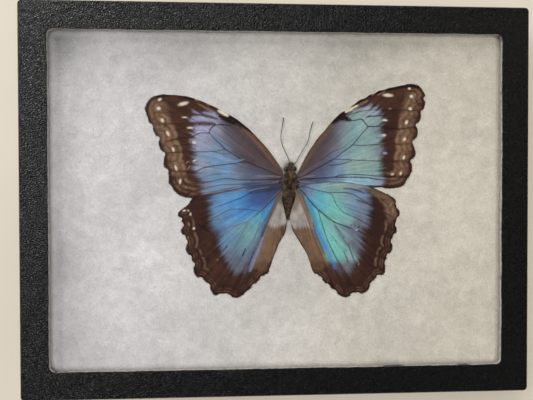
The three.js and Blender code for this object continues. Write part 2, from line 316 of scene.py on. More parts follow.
def leather_material(name, crown_colour, crease_colour, pebbles, relief):
    """Black paper embossed like leather, worn a little shinier on the crowns."""
    material, tree, surface, place = new_material(name, Specular_IOR_Level=0.6)
    grain = add_node(tree, "Group", {"Vector": place, "Pebbles": pebbles, "Wander": 0.0012},
        node_tree=leather_grain)
    colour = blend(tree, grain.outputs["Crease"], paint(crown_colour), paint(crease_colour))
    feed(surface, "Base Color", colour)
    patch = noise(tree, place, 60, 3)
    shine = ranged(tree, patch, 0.3, 0.7, 0.12, 0.18)
    rough = reckon(tree, "MULTIPLY_ADD", grain.outputs["Crease"], 0.4, shine)
    feed(surface, "Roughness", rough)
    add_bump(tree, surface, grain.outputs["Height"], relief * MM)
    return material


tray_leather = leather_material("tray_leatherette", (9, 9, 11), (4, 4, 5), 1300, 0.07)

bare_board, tree, surface, place = new_material("bare_pressboard", Roughness=0.92, Specular_IOR_Level=0.2)
board_grey = mottle(tree, place, 900, paint((112, 108, 104)), paint((156, 151, 146)), 0.3, 0.7, 4)
feed(surface, "Base Color", board_grey)
pulp = noise(tree, place, 2600, 3)
add_bump(tree, surface, pulp, 0.12 * MM)

_, tray_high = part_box("base_tray")
TRAY_HALF_LENGTH = tray_high.x / MM
TRAY_HALF_WIDTH = tray_high.y / MM
TRAY_TOP = tray_high.z / MM
BOARD = 1.6
CORNER = 1.8
TURN_IN = 12
PAPER = 0.18
FOLD = 0.45


def quarter_round(half_length, half_width, radius, base, fold, upward, steps=4):
    """Loops over a folded edge, from the wall to the level face or back."""
    loops = []
    for k in range(steps + 1):
        turn = math.radians(90 * k / steps)
        inset = fold * (1 - math.cos(turn))
        rise = fold * math.sin(turn)
        if not upward:
            inset, rise = fold * (1 - math.sin(turn)), -fold * math.cos(turn)
        loops.append((half_length - inset, half_width - inset, max(radius - inset, 0.2), base + rise))
    return loops


# Loops from the bare panel under the bottom, up the wall and down into the box: half length, half
# width, corner radius and height.
inner_length, inner_width = TRAY_HALF_LENGTH - BOARD, TRAY_HALF_WIDTH - BOARD
tray_levels = [
    (TRAY_HALF_LENGTH - TURN_IN - 0.1, TRAY_HALF_WIDTH - TURN_IN - 0.1, 0.5, PAPER),
    (TRAY_HALF_LENGTH - TURN_IN, TRAY_HALF_WIDTH - TURN_IN, 0.5, 0.03),
]
tray_levels += quarter_round(TRAY_HALF_LENGTH, TRAY_HALF_WIDTH, CORNER, FOLD, FOLD, upward=False)
tray_levels += [(TRAY_HALF_LENGTH, TRAY_HALF_WIDTH, CORNER, height) for height in (4, 9)]
tray_levels += quarter_round(TRAY_HALF_LENGTH, TRAY_HALF_WIDTH, CORNER, TRAY_TOP - FOLD, FOLD, upward=True)
tray_levels += [
    (inner_length + 0.15, inner_width + 0.15, 0.7, TRAY_TOP),
    (inner_length, inner_width, 0.6, TRAY_TOP - 0.15),
    (inner_length, inner_width, 0.6, 8),
    (inner_length, inner_width, 0.6, BOARD + 0.2),
    (inner_length - 0.2, inner_width - 0.2, 0.5, BOARD),
]
tray_loops = [level_loop(*level) for level in tray_levels]
loop_count = len(tray_loops[0])
tray_faces = band_faces(loop_count, len(tray_loops), closed=False)
tray_numbers = [0] * len(tray_faces)
tray_numbers[:loop_count] = [1] * loop_count
tray_numbers[-3 * loop_count:] = [1] * (3 * loop_count)
tray_faces.append(tuple(range(loop_count))[::-1])
tray_faces.append(tuple(range(len(tray_loops) * loop_count - loop_count, len(tray_loops) * loop_count)))
tray_numbers += [1, 1]
base_tray = make_piece("tray_box", [(np.concatenate(tray_loops), tray_faces, tray_numbers)],
    [tray_leather, bare_board], smooth=False)
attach(base_tray, "root")
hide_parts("base_tray")


# ---- The fibre batting ------------------------------------
# A pad of loose polyester wadding that fills the tray. It is puffed up round the specimen, pressed
# a little flatter under the wings, and parted in a hollow where the body lies.


def pairs(numbers):
    """Places on the flat, from their x and y in turn."""
    return np.asarray(numbers, float).reshape(-1, 2)


# What presses on the pad: the outlines of the four wings, each from its root along its leading edge,
# and the middle lines of the body and the antennae.
LEFT_FOREWING = pairs([
    1.8, 11, 1.6, 12.7, 0, 14.8, -3, 19.1, -5.1, 21.8, -7.4, 24.3, -10, 27.1, -12.5, 29.6, -15, 31.6,
    -17.3, 33.4, -20, 35, -23, 36.7, -26.1, 38.3, -29.6, 39.8, -33.1, 41.3, -37.4, 42.6, -42.1, 43.1,
    -46.4, 43.2, -50, 42.5, -51.8, 41.8, -52.9, 40.6, -53.6, 39.4, -54.4, 37.5, -53.8, 35.9, -53.6, 34.3,
    -53.2, 32.8, -51.9, 31.3, -51.4, 30.4, -50.8, 28.3, -50, 26.8, -48.8, 25.9, -48.7, 24.6, -48.8, 22.9,
    -48.3, 21.4, -46.9, 19.9, -46.5, 19.1, -46.7, 17.3, -46.9, 15.2, -46.6, 13.8, -45.6, 12.9, -45, 11.6,
    -44.8, 9.6, -44.9, 7.6, -43.8, 5.6, -42.5, 4, -40.7, 2.5, -38.1, 1.6, -35.3, 1.4, -32.5, 1.5,
    -24, 2.2, -12, 3.6, -3, 5.2, 1.6, 6.4, 2.6, 9
])
RIGHT_FOREWING = pairs([
    7.2, 10.8, 7.9, 12, 9.5, 15.1, 11.3, 18.5, 12.7, 20.9, 14.1, 22.8, 15.3, 24.7, 17, 26.8, 19.2, 29.2,
    20.6, 31, 22.3, 32.9, 24, 34.7, 25.7, 36.2, 27, 36.9, 28.2, 37, 30.6, 39.3, 31.9, 40.3, 33.7, 41.7,
    36.1, 42.5, 37.7, 43.8, 40.1, 44.5, 41.5, 45.5, 43.8, 45.9, 45.9, 46.7, 48.5, 47.2, 51.2, 47.8,
    53.3, 48.1, 55, 48.2, 56.9, 48, 58.3, 47.5, 59.3, 46.5, 60.3, 45.1, 60.9, 43.7, 60.9, 43, 60.4, 42.5,
    60.9, 41.1, 60.7, 39.4, 60.2, 38.2, 59.4, 37.2, 59.3, 36.3, 59, 34.5, 58.5, 33.1, 57.2, 31.4,
    57.6, 30, 57.8, 28.3, 57.6, 26.9, 56.4, 25.5, 55.8, 24.3, 56, 22.9, 56.6, 21.2, 56.9, 19.3,
    56.4, 18.1, 55.2, 16.9, 55, 16.2, 55.4, 14.3, 55.4, 12.4, 55.1, 11.6, 54.3, 10.1, 53.3, 8.1,
    51.5, 6.2, 49.9, 5.6, 46.7, 5.2, 43.5, 5.5, 40, 5.3, 36, 4.9, 28, 4.8, 20, 5, 12, 5.4, 7.6, 6.4,
    6.6, 9
])
LEFT_HINDWING = pairs([
    2.4, 5.6, 1, 7, -4, 6.8, -8, 6.5, -12.7, 6.2, -16, 5.7, -20.3, 4.6, -26.3, 3.5, -30.5, 2.4,
    -34.7, 1.7, -36.1, -0.3, -37.3, -2, -38.9, -3.1, -40.1, -4, -41, -5, -41.1, -5.8, -40.5, -6.5,
    -39.7, -7.2, -39.9, -8.5, -39, -9.5, -39.2, -10.8, -39.9, -12, -39.7, -13.3, -38.8, -13.8,
    -38.3, -14.5, -38.1, -15.5, -37.5, -16.5, -37.7, -18, -38, -20, -37.3, -21.6, -36.5, -22.2,
    -36, -22.7, -35.7, -23.8, -35.1, -25, -34.6, -25.8, -34.9, -27.6, -34.7, -29.1, -34.2, -30.3,
    -33.2, -31.2, -32, -31.3, -31, -32.1, -29.8, -33.3, -28.8, -34.1, -28.3, -35.1, -27.9, -36.6,
    -27, -38.2, -26.2, -38.6, -24.8, -38.2, -22.5, -38.1, -20.5, -38.3, -19.3, -39.3, -17.7, -39.7,
    -16.4, -39.4, -14.8, -38.3, -13.6, -36.9, -12.8, -36.5, -11.6, -35.5, -11, -34.6, -9.8, -33.8,
    -8.2, -32.1, -7.7, -31.3, -6.9, -31, -6.1, -30.1, -5, -29.8, -4.4, -28.8, -3.6, -26.9, -2.9, -24.8,
    -2.2, -22.7, -1.2, -20.4, -0.2, -17.7, 0.9, -15.9, 2.1, -14, 2.6, -12.7, 2.9, -11, 3, -9.3, 3, -8.4,
    2.7, -6.2, 2.2, -4, 1.35, 0, 1, 3
])
RIGHT_HINDWING = pairs([
    6.9, 5.6, 8.2, 6.9, 10, 6.9, 12.6, 6.9, 17, 7.2, 21, 7.6, 25.6, 7.7, 30.1, 7.3, 34.5, 6.5, 36.1, 6.1,
    39.3, 5.1, 43.1, 3.5, 45, 2.4, 47.1, 1.1, 48.1, 0.3, 48.8, -0.7, 48.5, -1.7, 49.1, -2.2, 48.9, -2.8,
    49.5, -3.9, 50, -4.9, 49.9, -6.3, 49.2, -7.3, 48.8, -8.4, 48.5, -9.7, 48.4, -10.7, 48.8, -12,
    48.7, -13.4, 47.8, -14.2, 47.2, -15.2, 46.8, -16.3, 46.6, -17.3, 47, -19.2, 46.8, -20.7, 46, -21.7,
    45, -22.6, 44.5, -24.2, 44.1, -25.7, 43.9, -27, 43.9, -28.6, 43.7, -30.2, 42.6, -31, 41, -31.1,
    40, -32.3, 38.4, -34, 37.6, -35.2, 37.1, -36.8, 35.8, -38, 34, -38.6, 32.7, -38.2, 31, -38.3,
    29.7, -38.9, 29.1, -39.6, 27.6, -40, 26.3, -39.7, 24.7, -38.8, 23.8, -37.7, 23.1, -37.1, 21.8, -36.1,
    20.7, -35.1, 20.2, -34.6, 19.1, -33.9, 18.1, -32.7, 17.3, -31.6, 16.5, -31.3, 15.6, -30.4,
    14.7, -30.4, 13.6, -28.8, 12.8, -25.9, 11.8, -23, 10.5, -20.4, 9.1, -18.3, 7.5, -15.6, 6.2, -13.5,
    5.2, -11.6, 4.9, -10, 4.4, -7, 5, -4, 6.4, 0, 7.3, 3
])
BATTING_SLACK = 14.05
BATTING_PUFF = 0.55
BATTING_SHOULDER = 3.2
BATTING_STEP = 0.75
BATTING_TOP_LIMIT = 15
HOLLOW_DEPTH = 2.2
BODY_HOLLOW = pairs([3.4, -6, 4.2, 2, 4.7, 8, 4.7, 12.9])
LEFT_ANTENNA = pairs([
    4.1, 14.7, 4.2, 16.2, 3.6, 17.9, 2.4, 20.4, 1.4, 22.7, 0.9, 24.8, 0.8, 26.8, 1.1, 29, 1.5, 31.3,
    1.9, 34
])
RIGHT_ANTENNA = pairs([
    5.9, 14.8, 7.2, 16, 8, 17.5, 9.2, 19.7, 10.5, 21.8, 11.7, 23.7, 12.3, 25.6, 12.7, 27.8, 13.3, 30.1,
    14.1, 32.5
])


def smooth_step(value, low, high):
    share = np.clip((value - low) / (high - low), 0, 1)
    return share * share * (3 - 2 * share)


def line_distance(points, line, closed=False):
    """How far each point is from a line of points, and how far along the line the nearest place is."""
    line = pairs(line)
    ends = np.roll(line, -1, 0) if closed else line[1:]
    starts = line if closed else line[:-1]
    total = np.linalg.norm(ends - starts, axis=1).sum()
    best = np.full(len(points), 1e9)
    along = np.zeros(len(points))
    walked = 0
    for start, end in zip(starts, ends):
        run = end - start
        length = math.hypot(*run)
        share = np.clip(((points - start) @ run) / max(length * length, 1e-12), 0, 1)
        gap = np.hypot(*(points - start - share[:, None] * run).T)
        nearer = gap < best
        best[nearer] = gap[nearer]
        along[nearer] = (walked + share[nearer] * length) / total
        walked += length
    return best, along


def inside(points, ring):
    """True for each point within a closed ring."""
    ring = pairs(ring)
    hit = np.zeros(len(points), bool)
    x, y = points[:, 0], points[:, 1]
    for (x0, y0), (x1, y1) in zip(ring, np.roll(ring, -1, 0)):
        if y0 == y1:
            continue
        hit ^= ((y0 > y) != (y1 > y)) & (x < (x1 - x0) * (y - y0) / (y1 - y0) + x0)
    return hit


def signed_distance(points, ring):
    """Distance to a closed ring, positive within it."""
    gap, _ = line_distance(points, ring, closed=True)
    return np.where(inside(points, ring), gap, -gap)


batting_low, batting_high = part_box("fiber_batting")
half_length, half_width = batting_high.x / MM, batting_high.y / MM
columns = int(2 * half_length / BATTING_STEP) + 1
rows = int(2 * half_width / BATTING_STEP) + 1
grid_x, grid_y = np.meshgrid(np.linspace(-half_length, half_length, columns),
                             np.linspace(-half_width, half_width, rows))
pad = np.column_stack([grid_x.ravel(), grid_y.ravel()])


def batting_height(flat):
    """The height of the wadding's upper surface."""
    x, y = flat[:, 0], flat[:, 1]
    fore_reach = np.maximum(signed_distance(flat, LEFT_FOREWING), signed_distance(flat, RIGHT_FOREWING))
    hind_reach = np.maximum(signed_distance(flat, LEFT_HINDWING), signed_distance(flat, RIGHT_HINDWING))
    feeler = np.min([line_distance(flat, line)[0] for line in (LEFT_ANTENNA, RIGHT_ANTENNA)], axis=0)
    under_fore = np.maximum(smooth_step(fore_reach, -6, -0.6), 0.9 * smooth_step(-feeler, -5, -1))
    under_hind = smooth_step(hind_reach, -6, -0.6)
    body_gap, _ = line_distance(flat, BODY_HOLLOW)
    lumps = (0.5 * value_noise(x / 17 + 3, y / 17, 5) + 0.3 * value_noise(x / 7.5, y / 7.5 + 9, 6)
             + 0.2 * value_noise(x / 3.1, y / 3.1, 7))
    height = np.minimum(BATTING_SLACK + BATTING_PUFF + 0.42 * lumps, BATTING_TOP_LIMIT)
    hind_slack = BATTING_SLACK + 0.45 * smooth_step(body_gap, 4, 7) + 0.05 * lumps
    height += under_hind * (hind_slack - height)
    height += under_fore * (BATTING_SLACK + 0.05 * lumps - height)
    reach = 0.6 * smooth_step(y, 10.5, 13)
    depth = HOLLOW_DEPTH - 0.8 * smooth_step(y, 10, 14)
    height -= depth * (1 - smooth_step(body_gap - reach, 1.9, 3.1))
    border = np.minimum(half_length - np.abs(x), half_width - np.abs(y))
    edge = np.clip(1 - border / BATTING_SHOULDER, 0, 1)
    return height - BATTING_SHOULDER * (1 - np.sqrt(1 - edge ** 2)) * 0.9


pad_top = np.column_stack([pad, batting_height(pad)])
number = np.arange(rows * columns).reshape(rows, columns)
pad_faces = [(number[r, c], number[r, c + 1], number[r + 1, c + 1], number[r + 1, c])
             for r in range(rows - 1) for c in range(columns - 1)]
border_loop = np.concatenate([number[0, :-1], number[:-1, -1], number[-1, :0:-1], number[:0:-1, 0]])
skirt = []
for level in (8, 5, batting_low.z / MM):
    ring = pad_top[border_loop].copy()
    bulge = 0.25 * value_noise(ring[:, 0] / 6, ring[:, 1] / 6, int(level))
    ring[:, :2] *= 1 - (0.2 + bulge[:, None] * 0.5) / 100
    ring[:, 2] = level
    skirt.append(ring)
start = rows * columns
rim = len(border_loop)
levels = [list(border_loop)] + [list(range(start + k * rim, start + (k + 1) * rim)) for k in range(3)]
for upper, lower in zip(levels, levels[1:]):
    pad_faces += [(upper[k], lower[k], lower[(k + 1) % rim], upper[(k + 1) % rim]) for k in range(rim)]
pad_faces.append(tuple(levels[-1]))

batting_white, tree, surface, place = new_material("white_batting", Roughness=0.95, Specular_IOR_Level=0.1)
wool = add_node(tree, "Attribute", attribute_name="wool")
lumpy = add_node(tree, "TexNoise", {"Vector": place, "Scale": 230, "Detail": 6, "Roughness": 0.62,
    "Distortion": 0.5})
lumpy_share = ranged(tree, lumpy, 0.3, 0.7, 0.89, 1.11)
wisps = add_node(tree, "TexNoise", {"Vector": place, "Scale": 1250, "Detail": 4, "Roughness": 0.7,
    "Distortion": 1.2})
wisp_share = ranged(tree, wisps, 0.3, 0.7, 0.83, 1.15)
tone = reckon(tree, "MULTIPLY", lumpy_share, wisp_share)
wispy = scaled(tree, wool.outputs["Color"], tone)
feed(surface, "Base Color", wispy)
add_bump(tree, surface, wisps, 0.1 * MM, 0.7)


def spots(piece):
    """Where a piece's points are, in millimetres: x, y and z."""
    return np.array([v.co for v in piece.data.vertices]).T / MM


batting = make_piece("batting_pad", [(np.concatenate([pad_top] + skirt), pad_faces, 0)], [batting_white])

# The wadding's tone, with painted light and shade in it: painted shade along the head wall and the
# left wall, where the lid's shadow falls, and beside and below the abdomen; painted light, cool on the
# left and warm on the right. Each cloud has its place, reach and depth; the other clouds are the
# wadding's own uneven tone.
WOOL_TONE_AND_SHADE_CLOUDS = [
    # The first three clouds, along the head wall, are painted shade from the lid.
    (30, 62, 20, 0.16), (-88, 62, 14, 0.22), (-30, 66, 16, 0.1), (4, -30, 12, 0.1), (-88, -25, 12, 0.1),
    (-78, -62, 10, 0.06), (44, -58, 16, 0.05), (-44, 56, 10, 0.06), (60, 30, 12, 0.04),
    (-72, 12, 12, -0.08), (-60, 30, 16, -0.1), (-58, -28, 22, -0.16), (-22, 46, 12, -0.05),
    # The cloud at 3.9, -10.5 and the two after it are painted shade below and beside the abdomen.
    (76, 2, 20, -0.12), (0, -62, 14, -0.12), (-84, -60, 8, 0.06), (3.9, -10.5, 3.4, 0.34),
    (7.2, 0, 1.6, 0.3), (6, -5, 1.5, 0.3),
]
x, y, _ = spots(batting)
shade = np.ones(len(x))
for cloud_x, cloud_y, reach, depth in WOOL_TONE_AND_SHADE_CLOUDS:
    shade -= depth * np.exp(-((x - cloud_x) ** 2 + (y - cloud_y) ** 2) / reach ** 2)
# Painted shade along the head wall and the left wall, under the lid's shadow.
shade -= 0.17 * smooth_step(y, 50, 66) + 0.17 * smooth_step(-x, 74, 90)
# Painted light along the window's left and head-side edges, lifting the lid's cast shadow there.
shade += 0.3 * np.maximum(smooth_step(-x, 88, 92), smooth_step(y, 64.2, 68))
shade += 0.05 * value_noise(x / 11, y / 8, 41) + 0.04 * value_noise(x / 4.5, y / 3.5, 42)
# Painted light: cool light on the left, turning to warm light on the right.
warm_light_share = smooth_step(x, -90, 95)[:, None]
tint = linear((213, 211, 214)) * (1 - warm_light_share) + linear((213, 207, 192)) * warm_light_share


def set_attribute(mesh, name, values, kind="FLOAT"):
    attribute = mesh.attributes.new(name, kind, "POINT")
    field = "color" if kind == "FLOAT_COLOR" else "value"
    attribute.data.foreach_set(field, np.asarray(values, np.float32).ravel())


set_attribute(batting.data, "wool", np.column_stack([tint * shade[:, None], np.ones(len(x))]),
    "FLOAT_COLOR")
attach(batting, "root")
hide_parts("fiber_batting")


# ---- The loose fibres on the batting ----------------------
# Single crimped fibres that stand a little off the pad and catch the light. Each is a thin thread
# that wanders over the surface and lies on it.

def new_geometry_tree(name, sockets):
    """A Geometry Nodes tree with its named inputs and one geometry output."""
    tree = bpy.data.node_groups.new(name, "GeometryNodeTree")
    for socket_name, kind in sockets.items():
        tree.interface.new_socket(name=socket_name, in_out="INPUT", socket_type="NodeSocket" + kind)
    tree.interface.new_socket(name="Geometry", in_out="OUTPUT", socket_type="NodeSocketGeometry")
    return tree, tree.nodes.new("NodeGroupInput").outputs


def finish_tree(tree, geometry):
    feed(tree.nodes.new("NodeGroupOutput"), "Geometry", geometry)


def grown_mesh(name, base, tree, values):
    """The plain mesh that a tree makes from a base object."""
    modifier = base.modifiers.new(name, "NODES")
    modifier.node_group = tree
    for item in tree.interface.items_tree:
        if item.in_out == "INPUT" and item.name in values:
            modifier[item.identifier] = values[item.name]
    graph = bpy.context.evaluated_depsgraph_get()
    mesh = bpy.data.meshes.new_from_object(base.evaluated_get(graph), preserve_all_data_layers=True,
                                           depsgraph=graph)
    base.modifiers.remove(modifier)
    mesh.name = name
    return mesh


tree, given = new_geometry_tree("strewn_fibres", {"Geometry": "Geometry", "Density": "Float",
    "Length": "Float", "Thickness": "Float", "Crimp": "Float", "Lift": "Float", "Seed": "Int",
    "Fibre": "Material"})
normal = add_node(tree, "GeometryNodeInputNormal")
normal_parts = add_node(tree, "SeparateXYZ", {0: normal.outputs["Normal"]})
upward = reckon(tree, "GREATER_THAN", normal_parts.outputs["Z"], 0.6)
scatter = add_node(tree, "GeometryNodeDistributePointsOnFaces", {"Mesh": given["Geometry"],
    "Selection": upward, "Density": given["Density"], "Seed": given["Seed"]})
thread = add_node(tree, "GeometryNodeCurvePrimitiveLine", {"Start": (-0.5, 0, 0), "End": (0.5, 0, 0)})
threads = add_node(tree, "GeometryNodeResampleCurve", {"Curve": thread, "Count": 8})
heading = add_node(tree, "FunctionNodeRandomValue", {0: (0, 0, 0), 1: (0, 0, 6.283),
    "Seed": given["Seed"]}, data_type="FLOAT_VECTOR")
size = add_node(tree, "FunctionNodeRandomValue", {2: 0.45, 3: 1.4, "Seed": 4})
reach = reckon(tree, "MULTIPLY", size.outputs[1], given["Length"])
laid = add_node(tree, "GeometryNodeInstanceOnPoints", {"Points": scatter.outputs["Points"],
    "Instance": threads, "Rotation": heading, "Scale": reach})
loose = add_node(tree, "GeometryNodeRealizeInstances", {"Geometry": laid})
swirl = add_node(tree, "TexNoise", {"Scale": 330, "Detail": 1})
centred = add_node(tree, "VectorMath", {0: swirl.outputs["Color"], 1: (0.5, 0.5, 0.5)},
    operation="SUBTRACT")
crimped = scaled(tree, centred, given["Crimp"])
bent = add_node(tree, "GeometryNodeSetPosition", {"Geometry": loose, "Offset": crimped})
nearest = add_node(tree, "GeometryNodeProximity", {0: given["Geometry"]}, target_element="FACES")
ripple = add_node(tree, "TexNoise", {"Scale": 900, "Detail": 0})
lift = reckon(tree, "MULTIPLY", ripple, given["Lift"])
rise = add_node(tree, "CombineXYZ", {"Z": lift})
settled = add_node(tree, "GeometryNodeSetPosition", {"Geometry": bent,
    "Position": nearest.outputs["Position"], "Offset": rise})
section = add_node(tree, "GeometryNodeCurvePrimitiveCircle", {"Resolution": 3,
    "Radius": given["Thickness"]})
solid = add_node(tree, "GeometryNodeCurveToMesh", {"Curve": settled, "Profile Curve": section,
    "Fill Caps": True})
real = add_node(tree, "GeometryNodeRealizeInstances", {"Geometry": solid})
finished = add_node(tree, "GeometryNodeSetMaterial", {"Geometry": real, "Material": given["Fibre"]})
finish_tree(tree, finished)

fibre_white, fibre_tree, surface, place = new_material("loose_fibre", Roughness=0.6, Specular_IOR_Level=0.3)
tree_colour = mottle(fibre_tree, place, 300, paint((232, 231, 229)), paint((250, 250, 249)))
feed(surface, "Base Color", tree_colour)

fibre_mesh = grown_mesh("loose_fibres", batting, tree, {"Density": 110000.0, "Length": 6.0 * MM,
    "Thickness": 0.04 * MM, "Crimp": 5.0 * MM, "Lift": 0.1 * MM, "Seed": 11, "Fibre": fibre_white})
fibres = shown("loose_fibres", fibre_mesh)
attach(fibres, "root")


# ---- The body ---------------------------------------------
# Thorax, abdomen and head, dried and shrunk a little, all clad in short olive-brown hair. The eyes
# are bare and glossy, and the two palps stand out in front of them.

def body_loft(stations, around=28):
    """A closed form through stations along Y: centre x, y, z and its half width and half depth."""
    turns = np.linspace(0, 2 * np.pi, around, endpoint=False)
    loops = []
    for x, y, z, half_across, half_deep in stations:
        loops.append(np.column_stack([x + half_across * np.cos(turns), np.full(around, y),
                                      z + half_deep * np.sin(turns)]))
    faces = band_faces(around, len(loops), closed=False)
    points = np.concatenate(loops)
    for centre, row in ((stations[0], 0), (stations[-1], len(loops) - 1)):
        points = np.vstack([points, centre[:3]])
        tip = len(points) - 1
        faces += [(row * around + k, tip, row * around + (k + 1) % around) for k in range(around)]
    return points, faces


def egg(centre, half, rows=14, around=20):
    """A closed egg with its poles along Y."""
    stations = []
    for k in range(1, rows):
        turn = math.pi * k / rows
        stations.append((centre[0], centre[1] - half[1] * math.cos(turn), centre[2],
                         half[0] * math.sin(turn), half[2] * math.sin(turn)))
    points, faces = body_loft(stations, around)
    points[-2, 1] = centre[1] - half[1]
    points[-1, 1] = centre[1] + half[1]
    return points, faces


# A tree that plants short tapered hairs all over a form, leaning one way and kept under a ceiling.
tree, given = new_geometry_tree("hair_coat", {"Geometry": "Geometry", "Density": "Float",
    "Length": "Float", "Thickness": "Float", "Lean": "Vector", "Upright": "Float", "Spread": "Float",
    "Ceiling": "Float", "Seed": "Int", "Hair": "Material"})
hair_tree = tree
scatter = add_node(tree, "GeometryNodeDistributePointsOnFaces", {"Mesh": given["Geometry"],
    "Density": given["Density"], "Seed": given["Seed"]})
straight = add_node(tree, "GeometryNodeCurvePrimitiveLine", {"End": (0, 0, 1)})
strand = add_node(tree, "GeometryNodeResampleCurve", {"Curve": straight, "Count": 4})
along = add_node(tree, "GeometryNodeSplineParameter")
curl = reckon(tree, "POWER", along.outputs["Factor"], 2)
sway = reckon(tree, "MULTIPLY", curl, 0.28)
sideways = add_node(tree, "CombineXYZ", {"X": sway})
curved = add_node(tree, "GeometryNodeSetPosition", {"Geometry": strand, "Offset": sideways})
slim = reckon(tree, "DIVIDE", given["Thickness"], given["Length"])
section = add_node(tree, "GeometryNodeCurvePrimitiveCircle", {"Resolution": 3, "Radius": slim})
taper = ranged(tree, along.outputs["Factor"], 0, 1, 1, 0.2)
hair = add_node(tree, "GeometryNodeCurveToMesh", {"Curve": curved, "Profile Curve": section,
    "Scale": taper, "Fill Caps": True})
stand = scaled(tree, scatter.outputs["Normal"], given["Upright"])
lean = add_node(tree, "VectorMath", {0: stand, 1: given["Lean"]})
tousle = add_node(tree, "FunctionNodeRandomValue", {0: (-1, -1, -1), 1: (1, 1, 1), "Seed": 3},
    data_type="FLOAT_VECTOR")
wild = scaled(tree, tousle, given["Spread"])
heading = add_node(tree, "VectorMath", {0: lean, 1: wild})
turned = add_node(tree, "FunctionNodeAlignRotationToVector", {"Vector": heading}, axis="Z")
size = add_node(tree, "FunctionNodeRandomValue", {2: 0.55, 3: 1.25, "Seed": 8})
reach = reckon(tree, "MULTIPLY", size.outputs[1], given["Length"])
coat = add_node(tree, "GeometryNodeInstanceOnPoints", {"Points": scatter.outputs["Points"],
    "Instance": hair, "Rotation": turned, "Scale": reach})
shade = add_node(tree, "FunctionNodeRandomValue", {2: 0, 3: 1, "Seed": 21})
toned = add_node(tree, "GeometryNodeStoreNamedAttribute", {"Geometry": coat, "Name": "tone",
    "Value": shade.outputs[1]}, data_type="FLOAT", domain="INSTANCE")
real = add_node(tree, "GeometryNodeRealizeInstances", {"Geometry": toned})
spot = add_node(tree, "GeometryNodeInputPosition")
spot_parts = add_node(tree, "SeparateXYZ", {0: spot})
capped = reckon(tree, "MINIMUM", spot_parts.outputs["Z"], given["Ceiling"])
below = add_node(tree, "CombineXYZ", {"X": spot_parts.outputs["X"], "Y": spot_parts.outputs["Y"],
    "Z": capped})
flattened = add_node(tree, "GeometryNodeSetPosition", {"Geometry": real, "Position": below})
haired = add_node(tree, "GeometryNodeSetMaterial", {"Geometry": flattened, "Material": given["Hair"]})
both = add_node(tree, "GeometryNodeJoinGeometry")
feed(both, 0, haired)
feed(both, 0, given["Geometry"])
finish_tree(tree, both)


# Each strand has its own tone, in tufts of lighter and darker ones.
hair_tone, given, out = new_shader_group("hair_tone",
    {"Vector": "Vector", "Dark": "Color", "Light": "Color"}, {"Colour": "Color"})
tone = add_node(hair_tone, "Attribute", attribute_name="tone")
shaded = add_node(hair_tone, "Attribute", attribute_name="shade")
tuft = noise(hair_tone, given["Vector"], 700, 2)
strand_share = reckon(hair_tone, "MULTIPLY_ADD", tone.outputs["Fac"], 0.55, -0.27)
patchy = reckon(hair_tone, "SUBTRACT", tuft, shaded.outputs["Fac"])
share = ranged(hair_tone, reckon(hair_tone, "ADD", strand_share, patchy), 0.25, 0.85)
strand_colour = blend(hair_tone, share, given["Dark"], given["Light"])
feed(out, "Colour", strand_colour)


def hair_material(name, dark, light):
    material, tree, surface, place = new_material(name, Roughness=0.75, Specular_IOR_Level=0.25)
    coat = add_node(tree, "Group", {"Vector": place, "Dark": paint(dark), "Light": paint(light)},
        node_tree=hair_tone)
    feed(surface, "Base Color", coat)
    return material


def skin_material(name, dark, light, roughness):
    material, tree, surface, place = new_material(name, Roughness=roughness, Specular_IOR_Level=0.3)
    feed(surface, "Base Color", mottle(tree, place, 1400, paint(dark), paint(light)))
    rough_skin = noise(tree, place, 4000, 2)
    add_bump(tree, surface, rough_skin, 0.06 * MM)
    return material


GLASS_LIMIT = 15.12
body_skin = skin_material("body_skin", (34, 27, 23), (62, 50, 41), 0.7)
thorax_hair = hair_material("thorax_hair", (36, 28, 24), (168, 138, 112))
abdomen_hair = hair_material("abdomen_hair", (30, 22, 18), (142, 112, 90))


def grow_hair(piece, **values):
    """Clads a piece in hair, and leaves it a plain mesh."""
    metric = {key.title(): value for key, value in values.items()}
    metric["Ceiling"] = GLASS_LIMIT * MM
    for key in ("Length", "Thickness"):
        metric[key] *= MM
    piece.data = grown_mesh(piece.name, piece, hair_tree, metric)


THORAX_CENTRE = (4.75, 8, 12.3)
THORAX_HALF = (2.5, 4.2, 2.35)
stations = []
for k in range(1, 26):
    turn = math.pi * k / 26
    y = THORAX_CENTRE[1] - THORAX_HALF[1] * math.cos(turn)
    waist = 1 - 0.1 * math.exp(-((y - 6.1) / 0.5) ** 2) - 0.08 * math.exp(-((y - 10.6) / 0.4) ** 2)
    girth = math.sin(turn) ** 0.8 * waist
    stations.append((THORAX_CENTRE[0], y, THORAX_CENTRE[2], THORAX_HALF[0] * girth, THORAX_HALF[2] * girth))
thorax_parts = [(*body_loft(stations), 0)]
for centre, half in (((2.9, 9.5, 13.8), (0.9, 1.7, 0.7)), ((6.7, 9.5, 13.8), (0.9, 1.7, 0.7)),
                     ((2.3, 6.2, 13.9), (1.1, 1.2, 0.75)), ((7.1, 6.2, 13.9), (1.1, 1.2, 0.75)),
                     ((4.7, 11.9, 12.95), (1.7, 1.3, 1.4))):
    thorax_parts.append((*egg(centre, half), 0))
thorax = make_piece("thorax_body", thorax_parts, [body_skin])
grow_hair(thorax, density=4.2e7, length=1.15, thickness=0.035, lean=(0.0, -1.0, 0.25), upright=0.45,
    spread=0.42, seed=5, hair=thorax_hair)
x, y, _ = spots(thorax)
thorax_shade = 0.26 * value_noise(x / 0.9, y / 1.1, 51) - 0.04 - 0.12 * smooth_step(y, 10.5, 12.5)
for spot_x, spot_y, reach, depth in ((4.9, 6, 1.1, 0.5), (1.5, 7.3, 0.8, 0.5), (8, 7.3, 0.8, 0.5),
                                     (6.2, 8.6, 1, 0.18), (1.6, 5, 0.6, 0.4), (7.6, 5, 0.6, 0.4)):
    thorax_shade += depth * np.exp(-((x - spot_x) ** 2 + (y - spot_y) ** 2) / reach ** 2)
set_attribute(thorax.data, "shade", thorax_shade)
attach(thorax, "root")
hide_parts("thorax")

